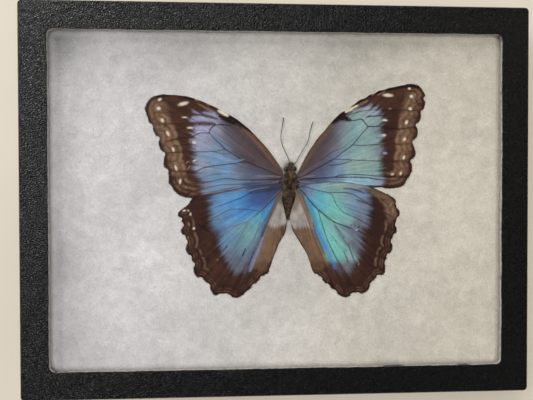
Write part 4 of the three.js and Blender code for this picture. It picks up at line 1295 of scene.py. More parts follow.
left_fore = {
    "root": (1.8, 9.5), "level": 14.38, "droop": 0, "seed": 31, "mirrored": False,
    "margin_ends": (17, 48), "border": "bark", "feather": 2.4, "lustre": np.array((0.33, 0.3, 0.28)),
    "blue_field": [
        -24, 36.5, -30, 36.3, -35, 35.5, -35.6, 33.2, -34.5, 30, -35.5, 24.5, -34, 20, -35, 17,
        -34.5, 13, -33.5, 9.5, -32, 7, -32, 4, -30, 0.5, 5, 0, 5, 14, -2, 16, -12, 28, -17, 32, -22, 34],
    "washes": [
        ("smoke", -4, 15, 6), ("smoke", -10, 20, 6), ("plum", -14, 22, 5), ("smoke", -14, 28, 3),
        ("plum", -18, 27, 4), ("slate", -22, 24.5, 3.5), ("mist", -26, 29, 2.5), ("steel", -21, 18, 3),
        ("steel", -25, 22.8, 2.5), ("sky", -25, 17.6, 2.5), ("mist", -30, 24, 3), ("steel", -30, 18, 3),
        ("mist", -32, 21.5, 2), ("lilac", -32, 29.5, 2), ("lilac", -31, 33, 2.5), ("mist", -28, 35, 2),
        ("dusk", -9, 11, 3.5), ("slate", -16, 12, 2.5), ("sky", -22, 13, 2.2), ("steel", -27, 12, 2.5),
        ("mist", -31, 14.5, 2), ("dusk", -10, 7.6, 2.5), ("steel", -18, 8, 2), ("sky", -25, 7.3, 2),
        ("slate", -31, 6.3, 2), ("steel", -28, 4, 2), ("steel", -20, 6, 2), ("dusk", -10, 6.6, 2.5)],
    "regions": [
        ("umber", 0.15, [-34, 36, -40, 36, -41, 20, -38, 4, -30, 0, -33, 18], 1.5),
        ("tan", 0.3, [-52, 41, -46, 40, -41, 22, -38, 10, -41, 6, -46, 20, -53, 33], 1)],
    "margin_bands": [("soot", -1, 0.45, 0.6)],
    "rows": [
        ("tan", 1.7, 0.9, 0.5, 0.45, 0.04, 1), ("tan", 3.7, 1.25, 0.9, 0.75, 0.06, 1),
        ("tan", 6, 1.25, 1.1, 0.75, 0.12, 1)],
    "strokes": [
        ("bone", 0.45, 0.5, [0.9, 9.7, -3, 10.1, -9.7, 10.2]),
        ("bone", 0.4, 0.45, [0.9, 8, -3, 7.4, -7, 7.2]), ("soot", 0.5, 0.5, [1, 8.8, -5, 8.7]),
        ("fawn", 0.5, 0.45, [0.9, 10.4, -4, 12.7, -9.7, 15.3]),
        ("fawn", 2, 0.75, [1.2, 12.8, -2.4, 16.5, -6.2, 21.1, -10.5, 25.6, -14.7, 29.6]),
        ("soot", 1.1, 0.8, [-4, 20.9, -9.5, 26.9, -15, 31.8, -20, 35, -26, 38.3, -33, 41.2, -42, 43.1,
            -49, 42.8]),
        ("soot", 1.6, 0.85, [-12, 28.8, -15.5, 31.2, -19, 33.6, -21.5, 34.4]),
        ("soot", 1.5, 0.9, [-25.5, 35.3, -23, 34, -21, 32.8, -18, 31.6]),
        ("tan", 0.7, 0.9, [-32.6, 40.9, -34.3, 41.4]), ("tan", 0.6, 0.7, [-28.5, 39.1, -29.6, 39.6]),
        ("cream", 1.5, 0.95, [-24.6, 36.9, -22.8, 35.9, -21.1, 34.9]),
        ("rust", 0.6, 0.8, [-33, 39.6, -29, 37.5, -25, 35.8]),
        ("lilac", 0.7, 0.8, [-31, 36.2, -28, 35.5, -25, 34.9]),
        ("lilac", 1.4, 0.75, [-35.4, 34, -32, 33.4, -28, 32.8, -26, 32.3]),
        ("lilac", 1, 0.7, [-34.5, 30.2, -32, 30, -29.2, 29.3]),
        ("sky", 0.7, 0.7, [-28, 27.2, -24.6, 24.6, -22.2, 22.3, -19.8, 20.6]),
        ("soot", 0.5, 0.6, [-42.9, 28.7, -39, 29.5, -36.5, 30.3]),
        ("soot", 0.5, 0.6, [-44, 22.4, -40.6, 22.5, -37.9, 22.9, -36, 23.3]),
        ("umber", 0.4, 0.5, [-20, 19.3, -22.2, 19.1, -26.8, 20]),
        ("mist", 0.7, 0.7, [-33.5, 20.8, -29, 20.9, -24, 21.2]),
        ("sky", 0.8, 0.8, [-25.5, 15.1, -22.5, 15.6, -18, 16.2, -14.5, 16.9]),
        ("night", 0.45, 0.45, [-21.4, 11.2, -26, 10.8, -30.6, 10]),
        ("slate", 0.6, 0.7, [0.9, 9.8, -4.1, 10, -7.2, 9.7, -15, 8.9]),
        ("umber", 0.5, 0.6, [-3, 7.4, -10, 7, -16, 6.8, -23.3, 6.6, -29.5, 5.4, -33, 4.6]),
        ("sky", 0.9, 0.7, [-31.5, 8.4, -27, 9.6, -22, 9.9, -17.5, 9.6]),
        ("sky", 0.9, 0.7, [-29, 7, -24, 8, -18, 7.9, -12, 7.9]),
        ("bark", 0.6, 0.5, [-9, 6, -15, 5.6, -20, 5, -26, 3.8, -31, 2.4]),
        ("umber", 1.2, 0.8, [-36, 3.6, -38, 2.6, -41, 3.4, -43.5, 6]),
        ("bark", 1, 0.8, [-37, 35.5, -31, 34.9, -25.4, 33.6]),
        ("bark", 0.5, 0.5, [-36, 29, -32, 28.8, -29.5, 28.6]),
        ("bark", 1.9, 0.85, [-37, 31.4, -31, 31.6, -26.5, 31.4])],
    "dabs": [
        ("soot", 0.5, 7.5, 1.8, 1.1, 10), ("soot", 0.9, 9.4, 1.2, 0.6, 20),
        ("cream", -48.6, 41.2, 1.7, 1.1, 30), ("white", -49, 37.6, 1.8, 1.6, 0),
        ("cream", -47.6, 32.8, 1.8, 1.3, -60), ("cream", -45.4, 27.4, 2.2, 1.2, -60),
        ("cream", -43.3, 21, 2, 1, -70), ("cream", -42.2, 13.4, 2.4, 0.9, -70),
        ("cream", -40.5, 7.9, 2.4, 0.9, 80), ("cream", -39.2, 39.6, 4.4, 1.5, 14),
        ("cream", -38.6, 34.1, 2.6, 0.6, 0), ("cream", -36.5, 29.8, 2.8, 0.9, 0),
        ("white", -34.7, 23.8, 1.9, 1, 0), ("lilac", -32.6, 24.1, 3.6, 1, 5),
        ("white", -34.5, 16.5, 2, 0.6, 20), ("tan", -37.5, 15.8, 2, 0.5, 40),
        ("tan", -37, 13.5, 2.2, 0.5, 60), ("tan", -36.4, 24.4, 2.2, 0.6, 90),
        ("lilac", -31.5, 16.5, 3.5, 0.9, 10)],
    "ribs": [
        (0.42, "umber", 0.7, [0.9, 10.2, -2.2, 11.4, -7.2, 13.5, -11, 15.2, -14.5, 16.4, -19.5, 19.5,
            -22.2, 21, -24.1, 23.3, -26.8, 25.6, -28.5, 27.9]),
        (0.46, "bark", 0.4, [0.8, 12.4, -4, 18.6, -9.5, 25.2, -15.5, 30.4, -22, 34.4, -29, 38.2, -36,
            40.9, -43, 41.8]),
        (0.34, "soot", 0.8, [-19.8, 30.6, -22.9, 31.2, -25.6, 31, -27.2, 30.4, -28.3, 29.1, -28.7, 27.7,
            -32.2, 27.7, -34.5, 26.8, -36, 25.6, -40, 25.8, -46.5, 24]),
        (0.3, "umber", 0.55, [-27.2, 31.2, -32.2, 31.8, -38, 31.6, -50, 31.2]),
        (0.3, "umber", 0.65, [-22.2, 21, -26.8, 20.2, -31, 20, -36, 20, -46, 19.6]),
        (0.34, "umber", 0.7, [-13.7, 16.2, -17.5, 15.4, -22.5, 14.8, -26.8, 14.3, -31, 13.5, -34.8, 11.8,
            -44.6, 12.4]),
        (0.34, "umber", 0.65, [0.5, 8.9, -9.8, 8.5, -15.6, 8.5, -21.4, 9.1, -26, 8.5, -31.4, 7.2, -43.4,
            6.4]),
        (0.24, "umber", 0.3, [-23, 33, -29, 34.4, -37, 35.8, -51, 36])],
    "notches": [-51.5, 30.7, -48.7, 25.9, -46.5, 19.3, -45.4, 12.8, -44, 5.6, -53.2, 33.6],
}
make_wing("left_forewing", LEFT_FOREWING, left_fore, forewing_scales)


# ---- The right forewing -----------------------------------
# The same wing turned more to the light, so that its middle shines teal instead of steel blue.
# Its leading edge is chipped where the black strip parts from the cream one.

right_fore = {
    "root": (7.2, 9.5), "level": 14.38, "droop": 0, "seed": 47, "mirrored": True,
    "margin_ends": (26, 62), "border": "bark", "feather": 2, "lustre": np.array((0.36, 0.33, 0.35)),
    "blue_field": [
        27, 34.5, 30.5, 36.6, 34, 38.4, 36.5, 39.3, 41, 38, 42.5, 36, 44, 33.3, 43, 31, 43.5, 28,
        42.5, 25.5, 43, 23, 43, 20, 42.5, 17, 43.5, 14, 42, 12, 44, 9.5, 43.5, 7, 42, 5.8, 30, 2, 4, 0,
        4, 14, 10, 18, 18, 28, 23, 33],
    "washes": [
        ("smoke", 12, 13, 4), ("smoke", 13, 18, 4), ("plum", 17, 21, 4), ("smoke", 19, 26, 4),
        ("ash", 23, 22, 3), ("ash", 26, 29.5, 3), ("sea", 31, 30, 3.5), ("sea", 30, 25.5, 3),
        ("sea", 35, 25, 3.5), ("glaucous", 38, 28, 2.5), ("ash", 42, 29, 2), ("glaucous", 37, 33.3, 2.5),
        ("glaucous", 34, 36, 2.2), ("mist", 38.5, 37, 2.5), ("sea", 30, 20.5, 3),
        ("glaucous", 36, 20, 3.5), ("ash", 41.5, 21, 2.5), ("steel", 25, 17.5, 2.5),
        ("glaucous", 31, 14, 3), ("glaucous", 36, 14, 3), ("sea", 41, 14, 2), ("steel", 23.5, 12.2, 2.5),
        ("dusk", 18, 12.2, 3), ("dusk", 14, 8.8, 3), ("steel", 24, 8.6, 2), ("ice", 30, 8.3, 2),
        ("ice", 36, 7.5, 2), ("mist", 41.5, 7, 1.6), ("dusk", 20, 14.5, 2.5)],
    "regions": [
        ("umber", 0.5, [41, 39, 49, 38, 48, 20, 46, 6, 41, 6, 43, 20, 43, 34], 1.5),
        ("tan", 0.3, [53, 45, 58.5, 44, 56, 30, 54, 12, 49, 9, 49, 22, 50.5, 36], 1)],
    "margin_bands": [("soot", -1, 0.45, 0.6)],
    "rows": [
        ("tan", 1.7, 0.9, 0.5, 0.45, 0.04, 1), ("tan", 3.7, 1.25, 0.9, 0.75, 0.06, 1),
        ("tan", 6, 1.25, 1.1, 0.75, 0.12, 1)],
    "strokes": [
        ("bone", 0.45, 0.5, [8.2, 8.9, 10.5, 9.9, 15, 10.3]),
        ("bone", 0.4, 0.45, [8.4, 8, 11, 7.7, 15, 7.2]), ("soot", 0.5, 0.5, [8.2, 8.4, 14, 8.6]),
        ("tan", 0.5, 0.3, [8.4, 10.4, 12, 12.7, 18, 16.4]),
        ("fawn", 2.4, 0.8, [8.4, 12.8, 11.3, 17.8, 14.9, 23.4, 18.3, 27.6, 21.8, 31.4]),
        ("soot", 0.9, 0.7, [9.5, 15.3, 12.6, 20.9, 17, 26.9, 22.3, 33, 26, 36.3]),
        ("soot", 2.6, 0.92, [22.6, 32.4, 25, 34.6, 27.4, 36.2]),
        ("soot", 2.2, 0.92, [25.2, 33.9, 27.4, 34, 29.4, 33.4]),
        ("soot", 1.9, 0.9, [30.5, 38.9, 33.5, 41.2, 36, 42.5]),
        ("soot", 1.9, 0.9, [36.6, 42.9, 39, 44, 41.4, 45.2, 47, 46.8, 55, 48, 58.5, 47.2]),
        ("cream", 1.1, 0.95, [27.8, 36.6, 30.9, 38.2, 33, 39.4]),
        ("rust", 0.9, 0.9, [33, 39.4, 34.8, 40.3, 36.9, 41.3]),
        ("tan", 0.6, 0.8, [38.6, 43.6, 39.8, 44.3]), ("rust", 0.5, 0.8, [40.9, 43.6, 44.4, 45.3]),
        ("bark", 1.1, 0.7, [31, 37.6, 34, 38.8, 37, 39.7]),
        ("soot", 0.7, 0.85, [36.3, 34.5, 37.8, 34.9, 40.2, 35, 43.4, 35.3]),
        ("lilac", 1, 0.6, [31, 37.1, 34.5, 38, 37.4, 38.6]),
        ("umber", 0.45, 0.7, [30.2, 16.5, 27.8, 15.6, 25.5, 15, 21, 14.4]),
        ("sea", 0.6, 0.6, [36, 10.6, 40.5, 9.9, 43, 9.6]),
        ("umber", 0.6, 0.85, [23.2, 9.6, 30.9, 9.6, 36.7, 9.4, 40.9, 8.8, 44, 8.5, 48, 8.4]),
        ("ice", 1.3, 0.75, [31, 7.9, 35, 7.7, 39, 7.3, 42.4, 6.8]),
        ("soot", 1, 0.85, [36.5, 6, 40.5, 5.6, 46.3, 5.4]),
        ("glaucous", 0.9, 0.6, [38, 33.6, 40, 33.8, 42.2, 33.6])],
    "dabs": [
        ("soot", 7.8, 7.8, 1.8, 1.1, -10), ("soot", 8.1, 9.5, 1.2, 0.6, -20),
        ("cream", 45.5, 43.7, 4.2, 1.5, -4), ("tan", 46.3, 38.1, 1.6, 0.7, 0),
        ("white", 44.2, 33.3, 2.4, 0.9, 0), ("white", 43.6, 27.1, 2.2, 1.1, 0),
        ("lilac", 44.2, 19.6, 2, 1.1, 0), ("lilac", 42.4, 26.9, 3, 1.4, 0),
        ("cream", 54.4, 46.5, 1.3, 1, 0), ("white", 55.3, 43.3, 1.6, 1.5, 0),
        ("cream", 54.8, 38.1, 1.5, 1.3, 0), ("cream", 53.3, 32.5, 1.8, 1.2, 60),
        ("cream", 52.5, 25.4, 1.8, 1.2, 60), ("cream", 52.2, 17.8, 1.8, 1.1, 70),
        ("cream", 50.9, 11.2, 1.6, 0.9, 70), ("cream", 47.4, 10.8, 1.5, 0.8, 20)],
    "ribs": [
        (0.42, "umber", 0.75, [8.2, 9.4, 10.2, 10, 13.6, 12.1, 17.1, 14, 20.5, 16, 23.2, 17.5, 25.9, 19.6,
            29, 21.7, 30.9, 23.3, 33.2, 26.2, 35.2, 28.5, 37.1, 30.6]),
        (0.46, "bark", 0.4, [8.4, 12, 11.5, 17.6, 15.6, 23.8, 20.3, 29.4, 26.4, 34.9, 32, 38.6, 38, 42.3,
            46, 45.4]),
        (0.36, "soot", 0.8, [26, 34, 30.9, 33.1, 33.6, 33.7, 34.8, 33.5, 35.7, 32.3, 37.1, 30.6, 42.5,
            30.8, 44, 30.2, 50.2, 29.6, 57, 30.6]),
        (0.3, "umber", 0.7, [30.9, 22.9, 34.8, 22.8, 38.6, 23.1, 44, 23.1, 55.6, 23.6]),
        (0.3, "umber", 0.65, [23.2, 17.1, 30.2, 16.8, 34.8, 16.6, 42.5, 16.3, 54.8, 16.2]),
        (0.38, "soot", 0.75, [8.4, 8.8, 10.9, 9, 16.7, 9.2, 23.2, 9.6, 24.8, 10.4, 30.9, 10.8, 37.1, 10.5,
            43, 9.8, 54, 9.6]),
        (0.26, "soot", 0.55, [28.6, 35.4, 34, 36.9, 40, 37.6, 59.4, 37.4]),
        (0.24, "bark", 0.55, [17.1, 16.2, 21.3, 19.6, 25.5, 21.3, 28.6, 23.5, 32.5, 26.7])],
    "notches": [60.4, 42.5, 57.2, 31.4, 55.8, 24.3, 54.9, 16.5, 53.5, 8.5, 59.3, 36.8],
}
make_wing("right_forewing", RIGHT_FOREWING, right_fore, forewing_scales)


# ---- The left hindwing ------------------------------------
# Lies over the forewing's hind edge. Royal blue by the body, paling to teal-grey outwards, within
# a brown border with one tan line; the inner fold that cups the abdomen is cream, then fawn.

left_hind = {
    "root": (1.6, 4.5), "level": 14.86, "droop": 0.75, "seed": 61, "mirrored": False,
    "margin_ends": (9, 64), "border": "umber", "feather": 2.3, "lustre": np.array((0, 0.2, 0.28)),
    "blue_field": [
        -29.3, 0.7, -28, -2, -27.8, -6.7, -28, -9.7, -26.7, -12.3, -24.7, -14.3, -24.3, -19.3,
        -21.3, -24.7, -20, -28.3, -18.3, -30, -14.7, -30.3, -12.3, -29.3, -11.2, -27.5, -9.3, -22,
        -7.2, -15.5, -5.4, -10, -3.6, -5, -1.5, 0, 0.4, 3, 3, 6, 0, 9, -27, 6],
    "washes": [
        ("night", -2, 4.3, 2.5), ("night", -6, 3.6, 2.5), ("royal", -9, 2.6, 2), ("royal", -12, 0.2, 2),
        ("cornflower", -15, 0.5, 2.2), ("sky", -20, 2.2, 2.2), ("sky", -24, 1, 2), ("dusk", -27, 0, 1.8),
        ("sky", -25, -2, 2), ("cornflower", -20, -2, 2.5), ("royal", -9, -1, 2.2), ("royal", -5, 0.8, 2),
        ("cornflower", -3, -2, 1.6), ("cornflower", -5.5, -5, 1.6), ("lagoon", -9, -7, 2.2),
        ("cornflower", -12, -5, 2.5), ("cornflower", -16, -6, 2.5), ("sky", -20, -5, 2.5),
        ("steel", -24, -4.5, 2), ("steel", -26, -8, 2), ("sky", -20, -9, 2.5), ("dusk", -24, -12, 1.8),
        ("steel", -20, -13, 2.5), ("sea", -16, -12, 3), ("sea", -12, -11, 2.5), ("sea", -14, -17, 3),
        ("steel", -18, -16, 2.5), ("steel", -22, -16, 2), ("slate", -19, -21, 2.5),
        ("slate", -13, -22, 3), ("ash", -17, -26, 2.5), ("plum", -14, -28.5, 2),
        ("slate", -10.5, -23, 1.6), ("steel", -7, -11, 1.5)],
    "regions": [
        ("bark", 0.6, [-12, -29, -20, -29, -26, -22, -29, -12, -31, -20, -27, -33, -12, -34], 2.5),
        ("fawn", 1, [-0.5, 3, -5.4, -10.6, -7.4, -16, -9.4, -22, -11, -27.8, -7, -29, -3.2, -25, 0, -16.5,
            3.6, -12, 3.5, 3], 0.7),
        ("bone", 1, [-1.5, 2, -3.4, -4.4, -5, -9.6, -2, -10.8, 4.5, -11.2, 4.5, 4], 1.2),
        ("olive", 0.75, [-1, 6, -5, -6, -3, -6.4, -0.6, -1, 3, -3.4, 3, 6], 1),
        ("bark", 0.7, [0.6, -10.4, 3.4, -9.5, 2.9, -13.5, 0.6, -14.4], 0.6),
        ("bark", 0.55, [-11.5, -26, -6, -25, -3, -26, -5, -31, -12, -33], 1.6)],
    "margin_bands": [("soot", -1, 0.5, 0.6)],
    "rows": [
        ("tan", 1.1, 0.4, 0.1, 0.28, 0.1, 1), ("tan", 2.1, 0.4, 0.1, 0.25, 0.1, 1),
        ("tan", 3.9, 0.7, 0.3, 0.5, 0.12, 0.5)],
    "strokes": [
        # Painted highlight: a pinkish line and a pale lavender one along the leading edge, where it catches
        # the light.
        ("rust", 0.6, 0.85, [-27.5, 2.7, -22, 3.9, -17, 4.2, -12.7, 4]),
        ("mist", 0.5, 0.6, [-12.7, 4, -9, 4.8, -4, 5.6]),
        ("bark", 0.7, 0.8, [-33, 1.2, -30, 1.9, -26, 2.9, -20, 4.2, -14, 5.4]),
        ("night", 0.45, 0.45, [-24.3, -7.2, -27.3, -8.3]),
        ("soot", 0.55, 0.95, [-13.8, -19.7, -14.5, -21.2, -15.2, -22.7]),
        ("umber", 0.5, 0.8, [-21.5, -18.7, -22.4, -19.8, -23, -20.7]),
        ("navy", 0.9, 0.6, [-3.2, -5, -4.3, -7.7, -6.3, -12.7, -7.7, -16.3, -9.3, -19.7, -11, -23, -12.7,
            -26.3]),
        ("lilac", 1.7, 0.5, [-7.2, -15.5, -8.5, -19.3, -9.9, -23, -12, -28.7]),
        ("navy", 0.4, 0.7, [0.2, 3.6, -2.6, 0.9, -4.6, -1.3, -6.6, -3.5, -10.3, -6.8]),
        ("cornflower", 1.2, 0.7, [-0.8, 0.6, -2.6, -2.5, -4, -6, -5.2, -9.3]),
        ("olive", 1.7, 0.75, [0.8, 3.4, -0.8, 0.4, -2.3, -2.6, -3.9, -6.4, -5.2, -10]),
        ("fawn", 0.6, 0.7, [-3.6, -5.6, -5.4, -10.4, -7, -14.6]),
        ("soot", 0.6, 0.7, [-28.6, -12.8, -31, -11, -33.6, -9.6]),
        ("soot", 0.5, 0.8, [2.9, -9.4, 2.5, -12.8, 0.9, -15.9, -1.2, -20.4, -3, -25, -4.4, -28.6]),
        ("umber", 0.5, 0.6, [0.8, -10.6, 0.9, -12, 1.3, -13.7])],
    "dabs": [
        ("white", -38.8, -4, 1.6, 0.8, 10), ("white", -37.2, -4, 0.8, 0.8, 0),
        ("cream", -36.3, -5.4, 0.8, 1.4, 0), ("cream", -34.9, -11.3, 1, 0.9, 0),
        ("soot", -21.6, -18.8, 1, 0.8, 40), ("tan", -37, -9.5, 0.8, 1.6, 20),
        ("tan", -37.3, -15, 0.7, 1.4, -20), ("fawn", -25.4, -24.2, 1.2, 0.8, 20)],
    "ribs": [
        (0.4, "mist", 0.75, [0.6, 4.4, -0.7, 3.3, -2.3, 1.7, -4.3, -0.7, -6.3, -3, -8.3, -4.3, -10.3,
            -6.2, -12.8, -8.5, -14.7, -9, -17, -10, -19.7, -10.3, -23, -12.7, -28, -15.5, -37, -22]),
        (0.34, "night", 0.6, [0.6, 4.9, -4.7, 5.3, -8, 4.7, -11, 3.7, -13, 2.5, -15.7, 1.2, -21.3, -1,
            -27, -3, -39, -8.4]),
        (0.3, "night", 0.5, [-8.3, -4.3, -13, -3.6, -19.7, -3.5, -24.3, -5.7, -28.6, -8, -38.4, -15]),
        (0.26, "mist", 0.6, [-12.8, -8.5, -15.3, -13.3, -16.7, -16, -20.7, -22.5, -24, -28, -28.6,
            -34.6]),
        (0.26, "mist", 0.6, [-6.3, -3, -7.2, -6, -9.7, -14, -11.7, -19.3, -15, -27, -19.8, -38]),
        (0.3, "navy", 0, [-0.6, 2.2, -3.2, -4.2, -6.3, -12.7, -9.3, -19.7, -12.7, -26.3, -13.2, -36])],
    "notches": [
        -39.8, -7.5, -39.3, -9.5, -38.2, -14.6, -37.6, -16.7, -36, -22.6, -34.7, -26, -32, -31.5,
        -28.9, -34.4, -24, -38.1, -22, -38.1, -11, -34.6, -7.7, -31.2],
}
make_wing("left_hindwing", LEFT_HINDWING, left_hind, hindwing_scales)


# ---- The right hindwing -----------------------------------
# Turned to the light, so that its blue runs to aqua green, with one bright cobalt streak beside
# the inner fold. Its middle is rubbed, where scales are missing in stripes.

right_hind = {
    "root": (7.4, 4.5), "level": 14.86, "droop": 0.75, "seed": 79, "mirrored": True,
    "margin_ends": (12, 66), "border": "umber", "feather": 2.3, "lustre": np.array((0.34, 0.38, 0.4)),
    "blue_field": [
        33, 9.5, 37.2, 5.6, 37.6, 1.8, 38, -3.3, 37.3, -8.3, 37, -10.7, 34.3, -12.7, 34.5, -16.7,
        34.3, -20.7, 33, -24, 30.7, -26.3, 29.7, -29.3, 27.3, -31, 23.7, -29.7, 20.7, -26, 19, -22,
        17, -17.7, 15.3, -13, 14, -8.7, 12, -3.3, 10, 1.3, 6.5, 5, 9, 9, 26, 9.5],
    "washes": [
        ("dusk", 9.5, 4.6, 1.8), ("steel", 14, 5.8, 1.8), ("sea", 20, 5.6, 2.2),
        ("glaucous", 26, 5.7, 2.2), ("steel", 13, 3.2, 1.8), ("lagoon", 17, 1.6, 2.2),
        ("aqua", 21, 0.5, 2.5), ("aqua", 22, -3, 2.8), ("lagoon", 18, -1.7, 2), ("sea", 27, 1, 2),
        ("aqua", 25, -5, 2.2), ("steel", 29.5, 1.5, 2), ("steel", 33, 2, 1.8), ("slate", 35.5, -1, 1.6),
        ("mist", 31, 6, 1.6), ("slate", 35.4, 4.6, 1.6), ("steel", 31, -3, 2.2), ("sea", 28, -7, 2),
        ("slate", 34, -6, 2), ("ash", 34, -10.5, 1.8), ("cornflower", 12.5, -1, 1.2),
        ("lagoon", 14, -5, 1.4), ("lagoon", 15.5, -9, 1.4), ("lagoon", 16.8, -12, 1.4),
        ("aqua", 19, -8, 2), ("aqua", 21, -14, 2.2), ("sea", 22.4, -11, 1.6), ("aqua", 23, -18, 2.2),
        ("aqua", 25.3, -22, 2), ("sea", 27, -15, 1.8), ("slate", 30.5, -14, 2), ("ash", 32, -19, 2.2),
        ("sea", 28.5, -21.5, 1.8), ("ash", 28, -27, 2), ("plum", 26, -29.5, 1.8),
        ("lagoon", 19, -17, 1.2)],
    "regions": [
        ("bark", 0.5, [34, -12, 38, -12, 37, -24, 32, -33, 22, -34, 22, -29, 31, -28, 34, -20], 2),
        ("fawn", 1, [10, 1.3, 14, -8.7, 15.3, -13, 17, -17.7, 19, -22, 21, -26.5, 17, -29, 13, -28, 9.6,
            -19, 4, -12, 4, 3], 0.7),
        ("bone", 1, [9.4, 2.6, 11.4, -3.3, 13.4, -8.7, 13.4, -10.4, 9.8, -11.4, 3.5, -11, 3.5, 4], 1.2),
        ("olive", 0.7, [6, 6, 5, -4, 7.4, -4.4, 8.6, -0.6, 11.6, -6, 13, -6.4, 10, 6], 1),
        ("bark", 0.6, [11, -25, 20, -24.5, 24, -29, 20, -34, 13, -31], 1.6),
        ("tan", 0.45, [42.5, 3, 48, 0.5, 48.8, -8, 45.4, -9.5, 44, -3], 1.2)],
    "margin_bands": [("soot", -1, 0.5, 0.6)],
    "rows": [
        ("tan", 1.1, 0.4, 0.1, 0.28, 0, 1), ("tan", 2.1, 0.4, 0.1, 0.25, 0, 1),
        ("tan", 3.9, 0.8, 0.3, 0.5, 0, 0.45)],
    "strokes": [
        ("bone", 0.7, 0.6, [24, 7.3, 28, 7.1, 32, 6.4, 36, 5.5, 38, 4.9]),
        ("fawn", 2.6, 0.7, [38, 4, 40.2, 3, 42.4, 1.6]),
        ("bark", 0.5, 0.8, [9, 6.1, 14, 7, 20, 7.6, 26, 7.6, 32, 7]),
        ("mist", 0.7, 0.8, [30.3, -11.6, 31.4, -12, 32.4, -12.4]),
        ("umber", 0.5, 0.7, [32, 0.3, 34.7, -0.7, 37.7, -1.7, 39.7, -2.5]),
        ("soot", 0.7, 0.7, [26.7, 5, 29.7, 4.8, 33, 4, 35.3, 3]),
        ("cobalt", 1.9, 0.55, [14.6, -9.6, 15.4, -12.4, 16.8, -15, 18.3, -17.7, 20.7, -22, 22.7, -26.7,
            23.3, -28]),
        ("lagoon", 1.5, 0.8, [10.8, 1.6, 12.4, -2, 14.2, -6, 15.6, -10.4]),
        ("ash", 1.8, 0.5, [23.3, -10.7, 25, -13.6, 27, -16.6, 28.3, -18.3]),
        ("soot", 0.4, 0.75, [26.7, -21, 28, -24, 28.7, -26]),
        ("tan", 0.4, 0.7, [27.2, -21.6, 28.4, -24.2, 29, -25.6]),
        ("soot", 0.4, 0.65, [28.7, -17.7, 30.3, -22.7, 31.3, -24.7]),
        ("mist", 0.5, 0.6, [30.4, -2.6, 33, -4.2, 36.4, -6.4]),
        ("mist", 0.5, 0.5, [31.6, -7.6, 34, -9.2, 36, -10.6]),
        ("olive", 1.6, 0.75, [8, 3.3, 9.6, 0, 11.2, -4.4, 13, -10]),
        ("tan", 0.5, 0.8, [8.6, 2.4, 10.2, -1.6, 11.6, -5.4, 13.2, -10.6]),
        ("bark", 0.6, 0.6, [13.8, -9, 15, -13.4, 16.8, -18, 18.8, -22.4]),
        ("soot", 0.5, 0.8, [5.2, -10, 6.4, -13.4, 9.2, -18, 11.7, -22.8, 13.6, -28.4])],
    "dabs": [
        ("tan", 46.6, -1.8, 2.2, 0.8, 60), ("tan", 47.4, -4.4, 2.4, 0.8, 80),
        ("soot", 30, -10.2, 0.9, 0.5, 0), ("soot", 31.4, -10.6, 1, 0.6, 20),
        ("soot", 33, -11.2, 1.2, 0.7, 20), ("soot", 31, -9.9, 0.5, 0.5, 0),
        ("white", 32.2, -12.2, 0.9, 0.5, 20), ("sea", 27.8, -20.8, 2.4, 1.4, -60),
        ("ash", 30.7, -20, 0.6, 2.6, 15), ("soot", 22, -16.4, 0.5, 0.5, 0),
        ("soot", 23.4, -16.6, 0.6, 0.5, 30), ("soot", 26.8, -15.2, 0.6, 0.5, 0),
        ("tan", 33, -26.6, 0.5, 1.2, 0), ("tan", 31.6, -25.2, 0.5, 1.4, 20),
        ("bone", 26.5, -26, 1.2, 0.5, 0)],
    "ribs": [
        (0.42, "umber", 0.75, [8.6, 4.6, 10.3, 3, 12.3, 0.3, 14.3, -2, 16, -3.7, 18, -5.3, 20.3, -7.3,
            22.3, -8.7, 25.3, -9.9, 28.3, -11, 32, -12.3, 38, -15.4, 46, -22]),
        (0.34, "umber", 0.6, [8.2, 5.6, 11, 5.7, 13, 5, 15.3, 4.3, 20.7, 3.2, 27, 3.3, 31, 2.4, 37.7,
            -1.7, 48.6, -7.8]),
        (0.28, "night", 0.55, [21, 3, 22.3, 1.7, 23.7, -1.7, 26.7, -5, 32, -7.3, 36.5, -9.8, 47.4,
            -14.6]),
        (0.28, "umber", 0.65, [16.2, -4, 17, -7.3, 19, -13.7, 20.2, -16.7, 24, -25, 27, -31, 29.4,
            -38.6]),
        (0.26, "umber", 0.25, [22.3, -8.7, 25.6, -14, 29, -20, 32, -27, 37.6, -34.8]),
        (0.3, "navy", 0, [9.4, 2.4, 12, -3.3, 14.6, -9.6, 17, -16, 20.6, -24.4, 21.8, -35])],
    "notches": [
        48.5, -1.2, 49.1, -2.6, 49.1, -7.6, 48.5, -9.8, 47.9, -14.4, 46.8, -16.9, 45, -22.8, 44.2, -25.7,
        41.3, -31.2, 38.3, -34.3, 33, -38.2, 30.4, -38.5, 23.3, -37.5, 20.4, -34.9, 17.3, -31.7,
        15.6, -30.5],
}
make_wing("right_hindwing", RIGHT_HINDWING, right_hind, hindwing_scales)


# ---- The glass pane ---------------------------------------
# One sheet of 2 mm picture glass with its edges just taken off. It lies on the tray's walls under
# the lid and presses on the specimen.

window_glass, tree, surface, place = new_material(
    "window_glass", Base_Color=(1, 1, 1, 1), Roughness=0, IOR=1.45, Transmission_Weight=1)
clear = add_node(tree, "BsdfTransparent")
rays = add_node(tree, "LightPath").outputs
unbent = reckon(tree, "MAXIMUM", rays["Is Shadow Ray"], rays["Is Diffuse Ray"])
chosen = add_node(tree, "MixShader", {0: unbent, 1: surface, 2: clear})
feed(tree.nodes["Material Output"], "Surface", chosen)

